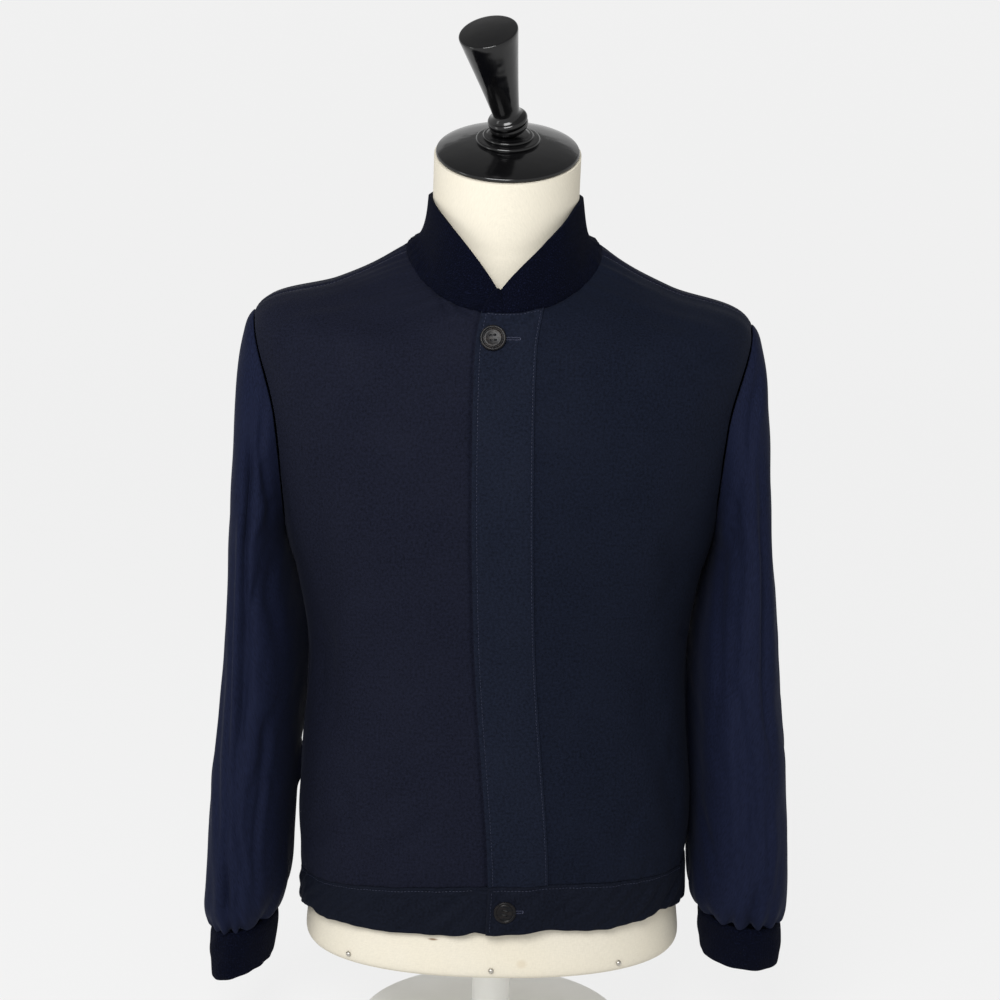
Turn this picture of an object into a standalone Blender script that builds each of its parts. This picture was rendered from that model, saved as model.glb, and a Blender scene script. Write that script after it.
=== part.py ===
"""Bomber jacket worn by a limbless dress form, at its real size.

Frame: metres, +Z up, origin at the middle of the stand's foot where it meets the floor. The front
faces -Y and the wearer's left side is at +X, so front_left, sleeve_left and cuff_left are at +X.

All the cloth of the body lies on one surface, body_point(turn, level): level counts up the rows of
RINGS, from the waistband's seam to the collar's seam, and turn goes round each ring in degrees, 0 at
the centre front, 90 at the wearer's left side, 180 at the centre back.
"""

import math
from collections import namedtuple

import bmesh
import bpy
from mathutils import Matrix, Vector

# ---- Driving dimensions, in metres ----

CLOTH = 0.0012  # wall of the self cloth
BAND = 0.0022  # waistband, of doubled cloth
RIB = 0.0024  # wall of the rib knit
SEAM_GAP = 0.0005  # between two pieces at a seam
LAYER_GAP = 0.0004  # between a layer and what lies on it
REST_GAP = 0.0003  # between two pieces of the form

PLACKET_WIDTH = 0.052
UNDERLAP = 0.040  # how far the right front runs under the left one
BAND_LAP_END = 0.056  # where the left end of a band has come down from over its right one
BAND_LAP_START = -0.014  # where the right end of a band starts to be drawn finely, before the lap's edge
WAISTBAND_UNDERLAP = 0.050
COLLAR_UNDERLAP = 0.024
COLLAR_GAP = 0.0016  # from the panels' slanting top edges up to the collar

ARMPIT_LEVEL = 4.0
SHOULDER_TIP_LEVEL = 6.0
ARMHOLE_FRONT = 24.0  # degrees of turn from the armhole's middle to its front edge
ARMHOLE_BACK = 29.0
SHOULDER_SEAM_FORWARD = 5.0  # degrees of turn that the shoulder seam lies in front of the ridge

ARMHOLE_GAP = 0.0007  # from the body's panels to the sleeve's head
HEAD_DROP = 1.4  # how steeply a sleeve leaves its armhole: fall for each metre out
HEAD_LEAVE = 0.50  # the head's pull along that direction, as a share of its span
HEAD_ARRIVE = 0.90  # its pull along the sleeve's own direction at the other end
SLEEVE_TOE_IN = 0.13  # how far a sleeve's section slants in towards the back, per metre
CUFF_GAP = 0.0008  # from a sleeve's lower edge to its cuff

BUTTON_NECK = dict(radius=0.0112, thickness=0.0030, level=7.02, inset=0.0140)
BUTTON_WAIST = dict(radius=0.0098, thickness=0.0028, inset=0.0155)
BUTTON_RIM = 0.0016
BUTTON_DISH = 0.70  # height of the dished middle, as a share of the thickness

FORM_EASE = 0.0075  # from the jacket's outer face to the form
FORM_SIDE_EASE = 0.006  # and this much more under the shoulders' sides
NECK_TOP = Vector((0.001, -0.0123, 0.8175))
CAP_TILT = math.radians(20)
CAP_HEIGHT = 0.0194
FINIAL_AXIS = Vector((-0.200, -0.491, 0.848)).normalized()
KNOB_RADIUS = 0.017
KNOB_HALF_HEIGHT = 0.0075

TACK_TURNS = (0, 39, 104, 145, 180, 215, 256, 315)
TACK_RADIUS = 0.0025
TACK_DOME = 0.0021
TACK_GAP = 0.0006

FOOT_RADIUS = 0.125
FOOT_THICKNESS = 0.008
FOOT_EDGE = 0.003
COLUMN_RADIUS = 0.0175

# ---- Tables ----

# Sections of the jacket's body. front_z, side_z and back_z are the ring's heights there; half_width,
# front and back are its reach from middle_y; square is 2 for an ellipse and more for a boxier ring; fall
# shapes how the height runs from the side to the front; lap_x is the edge of the left front; tilt is the
# rise per metre towards the wearer's left.
Ring = namedtuple(
    "Ring",
    "front_z side_z back_z half_width front back square fall lap_x tilt middle_y",
    defaults=(0.0, 0.0, 0.0),
)
RINGS = (
    Ring(0.1875, 0.172, 0.176, 0.1765, 0.128, 0.121, 2.30, 2.0, -0.0040, 0.040),  # waistband's seam
    Ring(0.240, 0.232, 0.234, 0.1795, 0.132, 0.125, 2.30, 2.0, -0.0068, 0.025),  # hip
    Ring(0.365, 0.365, 0.365, 0.1715, 0.125, 0.112, 2.25, 2.0, -0.0175),  # waist
    Ring(0.445, 0.440, 0.445, 0.1805, 0.130, 0.118, 2.30, 2.0, -0.0215),  # ribs
    Ring(0.520, 0.480, 0.515, 0.1915, 0.133, 0.126, 2.40, 2.0, -0.0235),  # armpit
    Ring(0.588, 0.585, 0.605, 0.2110, 0.126, 0.125, 2.50, 2.0, -0.0243, -0.004),  # chest
    Ring(0.640, 0.675, 0.656, 0.2190, 0.113, 0.106, 2.45, 2.0, -0.0240, -0.012),  # shoulder tips
    Ring(0.667, 0.703, 0.704, 0.1480, 0.102, 0.090, 2.20, 1.6, -0.0225, -0.010),  # middle of the shoulder
    Ring(0.688, 0.732, 0.748, 0.0800, 0.093, 0.078, 2.10, 1.1, -0.0185),  # collar's seam
)
HEM = Ring(0.1435, 0.1370, 0.136, 0.1775, 0.129, 0.122, 2.30, 2.0, -0.0055, 0.040)
COLLAR_TOP = Ring(0.7000, 0.7805, 0.792, 0.0685, 0.085, 0.073, 2.10, 0.8, -0.0035)

# Sections of the form above the jacket's shoulders, and below its hem.
FORM_SKIRT = (
    Ring(0.100, 0.100, 0.100, 0.1700, 0.122, 0.115, 2.30, 2.0),
    Ring(0.108, 0.108, 0.108, 0.1725, 0.1245, 0.1175, 2.30, 2.0),
    Ring(0.146, 0.140, 0.142, 0.1695, 0.1215, 0.1145, 2.30, 2.0),
)
FORM_NECK = (
    Ring(0.694, 0.732, 0.742, 0.0670, 0.074, 0.060, 2.00, 1.3),
    Ring(0.735, 0.762, 0.772, 0.0640, 0.064, 0.060, 2.00, 1.6, 0.0, 0.0, -0.004),
)
NECK_RADIUS = 0.0640

# Sections of the sleeves below the armhole, from the upper arm to the cuff's seam: reach from the body's
# middle to the inner and outer side, heights there, and reach to the front and back.
Sleeve = namedtuple("Sleeve", "inner_x outer_x inner_z outer_z front_y back_y square")
SLEEVES = {
    "left": (
        Sleeve(0.1850, 0.2420, 0.440, 0.440, -0.084, 0.090, 2.3),
        Sleeve(0.1785, 0.2500, 0.370, 0.370, -0.086, 0.082, 2.3),
        Sleeve(0.1815, 0.2585, 0.290, 0.290, -0.086, 0.068, 2.3),
        Sleeve(0.1840, 0.2655, 0.215, 0.215, -0.083, 0.055, 2.3),
        Sleeve(0.1835, 0.2680, 0.166, 0.162, -0.080, 0.046, 2.2),
        Sleeve(0.1845, 0.2675, 0.144, 0.140, -0.077, 0.040, 2.1),
        Sleeve(0.1915, 0.2640, 0.130, 0.126, -0.068, 0.030, 2.0),
    ),
    "right": (
        Sleeve(0.1850, 0.2370, 0.440, 0.440, -0.084, 0.090, 2.3),
        Sleeve(0.1785, 0.2420, 0.370, 0.370, -0.086, 0.082, 2.3),
        Sleeve(0.1825, 0.2490, 0.290, 0.290, -0.086, 0.068, 2.3),
        Sleeve(0.1860, 0.2565, 0.215, 0.215, -0.083, 0.055, 2.3),
        Sleeve(0.1885, 0.2610, 0.158, 0.151, -0.080, 0.046, 2.2),
        Sleeve(0.1930, 0.2612, 0.135, 0.128, -0.077, 0.040, 2.1),
        Sleeve(0.2000, 0.2565, 0.120, 0.111, -0.068, 0.030, 2.0),
    ),
}
CUFFS = {
    "left": (
        Sleeve(0.1915, 0.2640, 0.130, 0.126, -0.068, 0.030, 2.0),
        Sleeve(0.1930, 0.2660, 0.109, 0.105, -0.066, 0.028, 2.0),
        Sleeve(0.1950, 0.2640, 0.088, 0.084, -0.062, 0.024, 2.0),
    ),
    "right": (
        Sleeve(0.2000, 0.2565, 0.120, 0.111, -0.068, 0.030, 2.0),
        Sleeve(0.2020, 0.2580, 0.096, 0.086, -0.066, 0.028, 2.0),
        Sleeve(0.2045, 0.2570, 0.075, 0.061, -0.062, 0.024, 2.0),
    ),
}

# The largest folds of the body, as troughs pressed in: where each runs, its depth and its half width.
BODY_GIRTH = 0.0026  # metres round the body in a degree of turn
SLEEVE_GIRTH = 0.0011  # and round a sleeve
FOLD_TAIL = 0.3  # how far a fold runs out past each end, as a share of its length
Fold = namedtuple("Fold", "from_turn from_z to_turn to_z depth half_width")
BODY_FOLDS = (
    Fold(-62, 0.45, -60, 0.27, 0.0040, 0.020),
    Fold(-50, 0.235, -66, 0.195, 0.0030, 0.014),
    Fold(56, 0.29, 64, 0.215, 0.0035, 0.016),
    Fold(150, 0.42, 156, 0.22, 0.0040, 0.024),
    Fold(205, 0.44, 200, 0.24, 0.0040, 0.022),
)
# Those of the sleeves: turn counts from the outer side, 0, over the front, 90, to the inner side, 180.
SLEEVE_FOLDS = {
    "left": (
        Fold(62, 0.60, 70, 0.33, 0.0045, 0.012),
        Fold(112, 0.36, 84, 0.17, 0.0040, 0.012),
        Fold(84, 0.17, 88, 0.125, 0.0050, 0.008),
        Fold(250, 0.52, 262, 0.26, 0.0022, 0.018),
    ),
    "right": (
        Fold(74, 0.60, 92, 0.42, 0.0045, 0.012),
        Fold(98, 0.40, 78, 0.24, 0.0045, 0.012),
        Fold(76, 0.18, 82, 0.122, 0.0050, 0.008),
        Fold(255, 0.50, 248, 0.24, 0.0050, 0.016),
    ),
}

# Turned profiles of the form's cap and finial, from the axis out and up.
Station = namedtuple("Station", "radius height")
Round = namedtuple("Round", "radius height size from_degrees to_degrees steps")
CAP_RIM = (
    Round(0.0606, 0.0020, 0.0020, -80, 75, 4),
)
CAP_CROWN = (
    Station(0.0596, 0.0046),
    Station(0.0500, 0.0080),
    Station(0.0400, 0.0104),
    Station(0.0290, 0.0122),
)
CAP_STEPS = (
    Round(0.0260, 0.0138, 0.0018, -40, 80, 3),
    Round(0.0206, 0.0172, 0.0016, -30, 80, 3),
)
HANDLE = (
    Station(0.0115, 0.0090),
    Station(0.0122, 0.0120),
    Station(0.0149, 0.0320),
    Station(0.0188, 0.0540),
    Station(0.0224, 0.0735),
    Station(0.0248, 0.0865),
    Station(0.0254, 0.0905),
    Station(0.0240, 0.0935),
    Station(0.0, 0.0950),
)

# The columns near the lap, as distances from the left front's edge.
LEFT_LINES = (0.0, 0.020, 0.030, UNDERLAP, PLACKET_WIDTH, 0.065)
PLACKET_LINES = (0.0, 0.020, 0.030, UNDERLAP, PLACKET_WIDTH)
RIGHT_LINES = (UNDERLAP, 0.030, 0.020, 0.0, -0.020)
BAND_LINES = (0.0, 0.020, UNDERLAP, BAND_LAP_END)
BAND_END_SHARES = (0.0, 0.4, 0.7, 1.0)

# How many strips each grid has. The fronts, the sleeves and the back share the rows of the armhole.
BODY_ROWS_BELOW = 8
ARMHOLE_ROWS = 9
SHOULDER_ROWS = 4
FRONT_COLUMNS = 7
BACK_COLUMNS = 16
HEAD_ROWS = 7
SLEEVE_ROWS = 12
WAISTBAND_COLUMNS = 30
WAISTBAND_ROWS = 3
COLLAR_COLUMNS = 34
COLLAR_ROWS = 4
CUFF_COLUMNS = 20
CUFF_ROWS = 4
FORM_COLUMNS = 28
TURNED_STEPS = 24

Look = namedtuple("Look", "colour roughness metallic")
LOOKS = {
    "cloth": Look((0.0095, 0.0116, 0.0212), 0.78, 0.0),
    "rib_knit": Look((0.0050, 0.0058, 0.0125), 0.90, 0.0),
    "button": Look((0.0120, 0.0120, 0.0140), 0.30, 0.0),
    "linen": Look((0.80, 0.74, 0.62), 0.85, 0.0),
    "lacquer": Look((0.0040, 0.0040, 0.0045), 0.12, 0.0),
    "tack_steel": Look((0.55, 0.54, 0.52), 0.35, 1.0),
    "white_coat": Look((0.80, 0.80, 0.79), 0.45, 0.0),
}


# ---- Tables to smooth shapes ----


def between(rows, level):
    """The row at a fractional place in a table, on smooth curves through its rows."""
    last = len(rows) - 1
    first = min(max(int(math.floor(level)), 0), last - 1)
    part = level - first
    before, start, end, after = (rows[min(max(first + k, 0), last)] for k in (-1, 0, 1, 2))
    weights = (
        -0.5 * part + part**2 - 0.5 * part**3,
        1 - 2.5 * part**2 + 1.5 * part**3,
        0.5 * part + 2 * part**2 - 1.5 * part**3,
        -0.5 * part**2 + 0.5 * part**3,
    )
    columns = zip(before, start, end, after)
    return type(start)(*(sum(w * value for w, value in zip(weights, column)) for column in columns))


def ring_point(ring, turn):
    """The point of a ring at a turn in degrees."""
    across = math.sin(math.radians(turn))
    ahead = math.cos(math.radians(turn))
    size = (abs(across) ** ring.square + abs(ahead) ** ring.square) ** (-1 / ring.square)
    x = ring.half_width * size * across
    reach = ring.front if ahead > 0 else ring.back
    end_z = ring.front_z if ahead > 0 else ring.back_z
    if ring.fall < 1 and ahead > 0:
        slope = 1 - abs(across) ** ring.fall
    else:
        slope = abs(ahead) ** (ring.fall if ahead > 0 else 2)
    z = ring.side_z + (end_z - ring.side_z) * slope
    return Vector((x, ring.middle_y - reach * size * ahead, z + ring.tilt * x))


def turn_at_x(ring, x):
    """The turn at which the front of a ring is this far across."""
    return math.degrees(math.asin(max(-1.0, min(1.0, x / ring.half_width))))


def trough(folds, turn, z, girth_per_degree):
    """How far the folds press the cloth in here."""
    depth = 0.0
    for fold in folds:
        along = (z - fold.from_z) / (fold.to_z - fold.from_z)
        if -FOLD_TAIL < along < 1 + FOLD_TAIL:
            centre = fold.from_turn + (fold.to_turn - fold.from_turn) * along
            aside = (turn - centre) * girth_per_degree / fold.half_width
            fade = math.sin(math.pi * (along + FOLD_TAIL) / (1 + 2 * FOLD_TAIL))
            depth += fold.depth * fade**2 * math.exp(-(aside**2))
    return depth


def level_normal(ring, turn):
    """The level direction straight out of a ring."""
    along = ring_point(ring, turn + 1) - ring_point(ring, turn - 1)
    return along.cross(Vector((0, 0, 1))).normalized()


# ---- The body's surface ----


def body_point(turn, level):
    return ring_point(between(RINGS, level), turn)


def outward(point_at, u, v, step_u, step_v):
    """The surface's unit normal, as point_at runs u to the left and v up as seen from outside."""
    along = point_at(u + step_u, v) - point_at(u - step_u, v)
    up = point_at(u, v + step_v) - point_at(u, v - step_v)
    return along.cross(up).normalized()


def body_layer(turn, level, out):
    """A point of the body's cloth, out from its outer face."""
    point = body_point(turn, level)
    fold = trough(BODY_FOLDS, turn % 360 if abs(turn) > 90 else turn, point.z, BODY_GIRTH)
    return point + outward(body_point, turn, level, 1.0, 0.02) * (out - fold)


def layer_over(levels_out, from_edge, released):
    """The height of a lapped layer: whole over the underlap, then down to nothing."""
    if from_edge <= UNDERLAP:
        return levels_out
    return levels_out * max(0.0, (released - from_edge) / (released - UNDERLAP))


# ---- Grids ----


def grid(name, columns, rows, place, thickness, look, closed=False):
    """A wall of cloth, from place(column, row, out): out is 0 on the outer face, -thickness inside."""
    mesh = bmesh.new()
    bmesh.ops.create_grid(mesh, x_segments=columns, y_segments=rows, size=0.5)
    column_of = mesh.verts.layers.float.new("column")
    row_of = mesh.verts.layers.float.new("row")
    for vert in mesh.verts:
        vert[column_of] = round((vert.co.x + 0.5) * columns)
        vert[row_of] = round((vert.co.y + 0.5) * rows)
    if closed:
        ends = {}
        for vert in mesh.verts:
            if vert[column_of] in (0, columns):
                ends.setdefault(vert[row_of], {})[vert[column_of]] = vert
        bmesh.ops.weld_verts(mesh, targetmap={pair[columns]: pair[0] for pair in ends.values()})
    inner = bmesh.ops.extrude_face_region(mesh, geom=mesh.faces[:])["geom"]
    inner_verts = {item for item in inner if isinstance(item, bmesh.types.BMVert)}
    for vert in mesh.verts:
        out = -thickness if vert in inner_verts else 0.0
        vert.co = place(int(vert[column_of]), int(vert[row_of]), out)
    return finish(name, mesh, look)


def finish(name, mesh, look, sharp=40):
    """The bmesh as a named object with its material, faces outwards, smooth but for sharp edges."""
    bmesh.ops.recalc_face_normals(mesh, faces=mesh.faces)
    if mesh.calc_volume(signed=True) < 0:
        bmesh.ops.reverse_faces(mesh, faces=mesh.faces)
    data = bpy.data.meshes.new(name)
    mesh.to_mesh(data)
    mesh.free()
    data.shade_smooth()
    data.set_sharp_from_angle(angle=math.radians(sharp))
    data.materials.append(material(look))
    made = bpy.data.objects.new(name, data)
    bpy.context.collection.objects.link(made)
    return made


def material(name):
    found = bpy.data.materials.get(name)
    if found:
        return found
    made = bpy.data.materials.new(name)
    made.use_nodes = True
    shader = made.node_tree.nodes["Principled BSDF"]
    shader.inputs["Base Color"].default_value = (*LOOKS[name].colour, 1.0)
    shader.inputs["Roughness"].default_value = LOOKS[name].roughness
    shader.inputs["Metallic"].default_value = LOOKS[name].metallic
    return made


# ---- Body panels ----


def body_levels():
    """The rows of a body panel, closer together at both ends of the armhole."""
    middle = (ARMPIT_LEVEL + SHOULDER_TIP_LEVEL) / 2
    half = (SHOULDER_TIP_LEVEL - ARMPIT_LEVEL) / 2
    top = len(RINGS) - 1
    below = [ARMPIT_LEVEL * k / BODY_ROWS_BELOW for k in range(BODY_ROWS_BELOW)]
    beside = [middle - half * math.cos(math.pi * k / ARMHOLE_ROWS) for k in range(ARMHOLE_ROWS)]
    step = (top - SHOULDER_TIP_LEVEL) / SHOULDER_ROWS
    above = [SHOULDER_TIP_LEVEL + step * k for k in range(SHOULDER_ROWS + 1)]
    return below + beside + above


def seam_turn(level):
    """The turn of the side seam, the armhole's middle and the shoulder seam."""
    rise = min(max((level - ARMPIT_LEVEL) / (SHOULDER_TIP_LEVEL - ARMPIT_LEVEL), 0.0), 1.0)
    return 90 - SHOULDER_SEAM_FORWARD * rise


def armhole_half(level, reach):
    """Degrees from the armhole's middle to its edge at a level."""
    place = (2 * level - ARMPIT_LEVEL - SHOULDER_TIP_LEVEL) / (SHOULDER_TIP_LEVEL - ARMPIT_LEVEL)
    return reach * math.sqrt(max(0.0, 1 - place**2))


def side_gap(level):
    """Half a seam's gap, in degrees of turn."""
    return math.degrees(SEAM_GAP / 2 / between(RINGS, level).front)


def front_panel(name, side, edge_lines, lift):
    """A front: edge_lines are its columns near the lap, as distances from the lap's edge."""
    levels = body_levels()
    lines = len(edge_lines)

    def place(column, row, out):
        level = levels[row]
        ring = between(RINGS, level)
        outer_turn = side * (seam_turn(level) - armhole_half(level, ARMHOLE_FRONT) - side_gap(level))
        if column < lines:
            turn = turn_at_x(ring, ring.lap_x + edge_lines[column])
            height = lift(edge_lines[column])
        else:
            start = turn_at_x(ring, ring.lap_x + edge_lines[-1])
            turn = start + (outer_turn - start) * (column - lines + 1) / FRONT_COLUMNS
            height = 0.0
        return body_layer(turn, level, out + height)

    return grid(name, lines - 1 + FRONT_COLUMNS, len(levels) - 1, place, CLOTH, "cloth")


def fronts():
    over = CLOTH + LAYER_GAP
    front_panel("front_right", -1, RIGHT_LINES, lambda from_edge: 0.0)
    front_panel("front_left", 1, LEFT_LINES, lambda from_edge: layer_over(over, from_edge, PLACKET_WIDTH))


def placket():
    """The strip on the left front, from its points moved out."""
    levels = body_levels()
    over = CLOTH + LAYER_GAP

    def place(column, row, out):
        from_edge = PLACKET_LINES[column]
        ring = between(RINGS, levels[row])
        turn = turn_at_x(ring, ring.lap_x + from_edge)
        return body_layer(turn, levels[row], out + over + layer_over(over, from_edge, PLACKET_WIDTH))

    grid("placket_left", len(PLACKET_LINES) - 1, len(levels) - 1, place, CLOTH, "cloth")


def back():
    levels = body_levels()

    def place(column, row, out):
        level = levels[row]
        edge = seam_turn(level) + armhole_half(level, ARMHOLE_BACK) + side_gap(level)
        return body_layer(edge + (360 - 2 * edge) * column / BACK_COLUMNS, level, out)

    grid("back", BACK_COLUMNS, len(levels) - 1, place, CLOTH, "cloth")


# ---- Bands that lap at the front ----


def band(name, low, high, thickness, look, columns, rows, underlap):
    """A band all round, its left end lapping over its right one; low and high are its edges' rings."""
    end_lines = [BAND_LAP_START + underlap * share for share in BAND_END_SHARES]
    last = len(BAND_LINES) - 1
    first_end = columns - len(end_lines) + 1

    def turn_of(column, ring):
        if column <= last:
            return turn_at_x(ring, ring.lap_x + BAND_LINES[column])
        if column >= first_end:
            return 360 + turn_at_x(ring, ring.lap_x + end_lines[column - first_end])
        start = turn_at_x(ring, ring.lap_x + BAND_LINES[-1])
        end = 360 + turn_at_x(ring, ring.lap_x + end_lines[0])
        return start + (end - start) * (column - last) / (first_end - last)

    def surface(turn, part):
        return ring_point(low, turn) * (1 - part) + ring_point(high, turn) * part

    def place(column, row, out):
        part = row / rows
        ring = type(low)(*(a + (b - a) * part for a, b in zip(low, high)))
        turn = turn_of(column, ring)
        from_edge = BAND_LINES[min(column, last)]
        over = layer_over(thickness + LAYER_GAP, from_edge, BAND_LAP_END)
        return surface(turn, part) + outward(surface, turn, part, 1.0, 0.05) * (out + over)

    grid(name, columns, rows, place, thickness, look)


def raised(ring, height):
    return ring._replace(
        front_z=ring.front_z + height,
        side_z=ring.side_z + height,
        back_z=ring.back_z + height,
    )


def waistband():
    top = raised(RINGS[0], -SEAM_GAP)
    band("waistband", HEM, top, BAND, "cloth", WAISTBAND_COLUMNS, WAISTBAND_ROWS, WAISTBAND_UNDERLAP)


def collar():
    low = raised(RINGS[-1], COLLAR_GAP)
    band("collar_rib", low, COLLAR_TOP, RIB, "rib_knit", COLLAR_COLUMNS, COLLAR_ROWS, COLLAR_UNDERLAP)


# ---- Sleeves ----


def sleeve_ring_point(row, side, around):
    """The point of a sleeve's section at an angle from its outer side over its front."""
    outer = math.cos(around)
    front = math.sin(around)
    size = (abs(outer) ** row.square + abs(front) ** row.square) ** (-1 / row.square)
    middle = (row.inner_x + row.outer_x) / 2
    from_middle = (row.front_y - row.back_y) / 2 * size * front
    x = middle + (row.outer_x - row.inner_x) / 2 * size * outer - SLEEVE_TOE_IN * from_middle
    y = (row.front_y + row.back_y) / 2 + from_middle
    z = (row.inner_z + row.outer_z) / 2 + (row.outer_z - row.inner_z) / 2 * size * outer
    return Vector((side * x, y, z))


def armhole_point(side, around):
    """The armhole's edge at an angle from the shoulder tip down the front, and the normal there."""
    middle = (ARMPIT_LEVEL + SHOULDER_TIP_LEVEL) / 2
    level = middle + (SHOULDER_TIP_LEVEL - middle) * math.cos(around)
    reach = ARMHOLE_FRONT if math.sin(around) > 0 else ARMHOLE_BACK
    turn = side * (seam_turn(level) - reach * math.sin(around))
    return body_point(turn, level), outward(body_point, turn, level, 1.0, 0.02)


def head_point(side, around, part):
    """The sleeve's head: from the armhole's edge out and down to the first section below it."""
    start, normal = armhole_point(side, around)
    rows = SLEEVES[("right", "left")[side > 0]]
    end = sleeve_ring_point(rows[0], side, around)
    below = sleeve_ring_point(between(rows, 0.1), side, around)
    span = (end - start).length
    leave = (normal + Vector((0, 0, -HEAD_DROP))).normalized() * span * HEAD_LEAVE
    arrive = (below - end).normalized() * span * HEAD_ARRIVE
    start = start + leave.normalized() * ARMHOLE_GAP
    square, cube = part**2, part**3
    return (
        start * (2 * cube - 3 * square + 1)
        + leave * (cube - 2 * square + part)
        + end * (3 * square - 2 * cube)
        + arrive * (cube - square)
    )


def sleeve_point(side, around, down):
    """The sleeve's surface: down 0 to 1 is its head, and 1 to 2 its length."""
    if down <= 1:
        return head_point(side, around, down)
    rows = SLEEVES[("right", "left")[side > 0]]
    return sleeve_ring_point(between(rows, (down - 1) * (len(rows) - 1)), side, around)


def sleeve(side):
    which = ("right", "left")[side > 0]
    columns = 2 * ARMHOLE_ROWS

    def surface(around, down):
        return sleeve_point(side, around, max(down, 0.0))

    def place(column, row, out):
        around = 2 * math.pi * column / columns
        down = row / HEAD_ROWS if row <= HEAD_ROWS else 1 + (row - HEAD_ROWS) / SLEEVE_ROWS
        point = surface(around, down)
        normal = outward(surface, around, down, 0.05, 0.02) * side
        fold = trough(SLEEVE_FOLDS[which], math.degrees(around), point.z, SLEEVE_GIRTH)
        return point + normal * (out - fold * min(1.0, down * 2))

    grid("sleeve_" + which, columns, HEAD_ROWS + SLEEVE_ROWS, place, CLOTH, "cloth", closed=True)


def cuff(side):
    which = ("right", "left")[side > 0]
    rows = CUFFS[which]

    def surface(around, down):
        point = sleeve_ring_point(between(rows, down * (len(rows) - 1)), side, around)
        return point - Vector((0, 0, CUFF_GAP * (1 - down)))

    def place(column, row, out):
        around = 2 * math.pi * column / CUFF_COLUMNS
        down = row / CUFF_ROWS
        return surface(around, down) + outward(surface, around, down, 0.05, 0.05) * side * out

    grid("cuff_" + which, CUFF_COLUMNS, CUFF_ROWS, place, RIB, "rib_knit", closed=True)


# ---- Turned and round pieces ----


def turned(name, profile, frame, look, steps=TURNED_STEPS):
    """A solid of revolution: profile rows are radius and height, the first and last on the axis."""
    mesh = bmesh.new()
    verts = [mesh.verts.new((radius, 0.0, height)) for radius, height in profile]
    edges = [mesh.edges.new(pair) for pair in zip(verts, verts[1:])]
    bmesh.ops.spin(
        mesh,
        geom=verts + edges,
        axis=(0, 0, 1),
        cent=(0, 0, 0),
        angle=2 * math.pi,
        steps=steps,
        use_merge=True,
    )
    bmesh.ops.remove_doubles(mesh, verts=mesh.verts, dist=1e-6)
    mesh.transform(frame)
    return finish(name, mesh, look, sharp=32)


def frame_at(point, axis):
    """A frame with its Z along axis."""
    return Matrix.Translation(point) @ Vector(axis).to_track_quat("Z", "Y").to_matrix().to_4x4()


def arc(part):
    """Points of a rounding, for a profile."""
    step = (part.to_degrees - part.from_degrees) / part.steps
    points = []
    for k in range(part.steps + 1):
        angle = math.radians(part.from_degrees + step * k)
        across = part.size * math.cos(angle)
        points.append(Station(part.radius + across, part.height + part.size * math.sin(angle)))
    return points


def button(name, point, normal, size):
    """A round button with a raised rim, standing a little off the cloth that it is sewn on."""
    round_edge = size["thickness"] / 2
    shoulder = size["radius"] - round_edge
    dish = size["thickness"] * BUTTON_DISH
    profile = (
        [Station(0.0, 0.0)]
        + arc(Round(shoulder, round_edge, round_edge, -90, 90, 4))
        + [Station(shoulder - BUTTON_RIM, dish), Station(0.0, dish)]
    )
    turned(name, profile, frame_at(point, normal), "button", TURNED_STEPS)


def buttons():
    over = 2 * (CLOTH + LAYER_GAP) + LAYER_GAP
    level = BUTTON_NECK["level"]
    ring = between(RINGS, level)
    turn = turn_at_x(ring, ring.lap_x + BUTTON_NECK["inset"])
    normal = outward(body_point, turn, level, 1.0, 0.02)
    button("button_neck", body_layer(turn, level, over), normal, BUTTON_NECK)

    middle = type(HEM)(*((low + high) / 2 for low, high in zip(HEM, RINGS[0])))
    turn = turn_at_x(middle, middle.lap_x + BUTTON_WAIST["inset"])
    normal = level_normal(middle, turn)
    point = ring_point(middle, turn) + normal * (BAND + 2 * LAYER_GAP)
    button("button_waistband", point, normal, BUTTON_WAIST)


# ---- The dress form ----


def form_rings():
    """The form's sections: the jacket's own, drawn in by the ease, between the skirt and the neck."""
    under = []
    for level, ring in enumerate(RINGS[:-1]):
        drop = FORM_EASE if level >= SHOULDER_TIP_LEVEL else 0.0
        side_ease = FORM_EASE + (FORM_SIDE_EASE if level > ARMPIT_LEVEL else 0.0)
        under.append(
            ring._replace(
                half_width=ring.half_width - side_ease,
                front=ring.front - FORM_EASE,
                back=ring.back - FORM_EASE,
                front_z=ring.front_z - drop / 2,
                side_z=ring.side_z - drop,
                back_z=ring.back_z - drop,
                tilt=0.0,
            )
        )
    return (*FORM_SKIRT, *under, *FORM_NECK)


def cap_frame():
    return frame_at(NECK_TOP, (0, -math.sin(CAP_TILT), math.cos(CAP_TILT)))


def form_torso():
    """The padded torso and neck, closed by its flat base and the slanting top of its neck."""
    rings = form_rings()
    mesh = bmesh.new()
    turns = [360 * k / FORM_COLUMNS for k in range(FORM_COLUMNS)]
    loops = [
        [mesh.verts.new(ring_point(between(rings, half_step / 2), turn)) for turn in turns]
        for half_step in range(2 * len(rings) - 1)
    ]
    top = [Vector((math.sin(math.radians(t)), -math.cos(math.radians(t)), 0)) * NECK_RADIUS for t in turns]
    loops.append([mesh.verts.new(cap_frame() @ (point - Vector((0, 0, REST_GAP)))) for point in top])
    for low, high in zip(loops, loops[1:]):
        for k in range(FORM_COLUMNS):
            after = (k + 1) % FORM_COLUMNS
            mesh.faces.new((low[k], low[after], high[after], high[k]))
    mesh.faces.new(reversed(loops[0]))
    mesh.faces.new(loops[-1])
    finish("form_torso", mesh, "linen")


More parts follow.
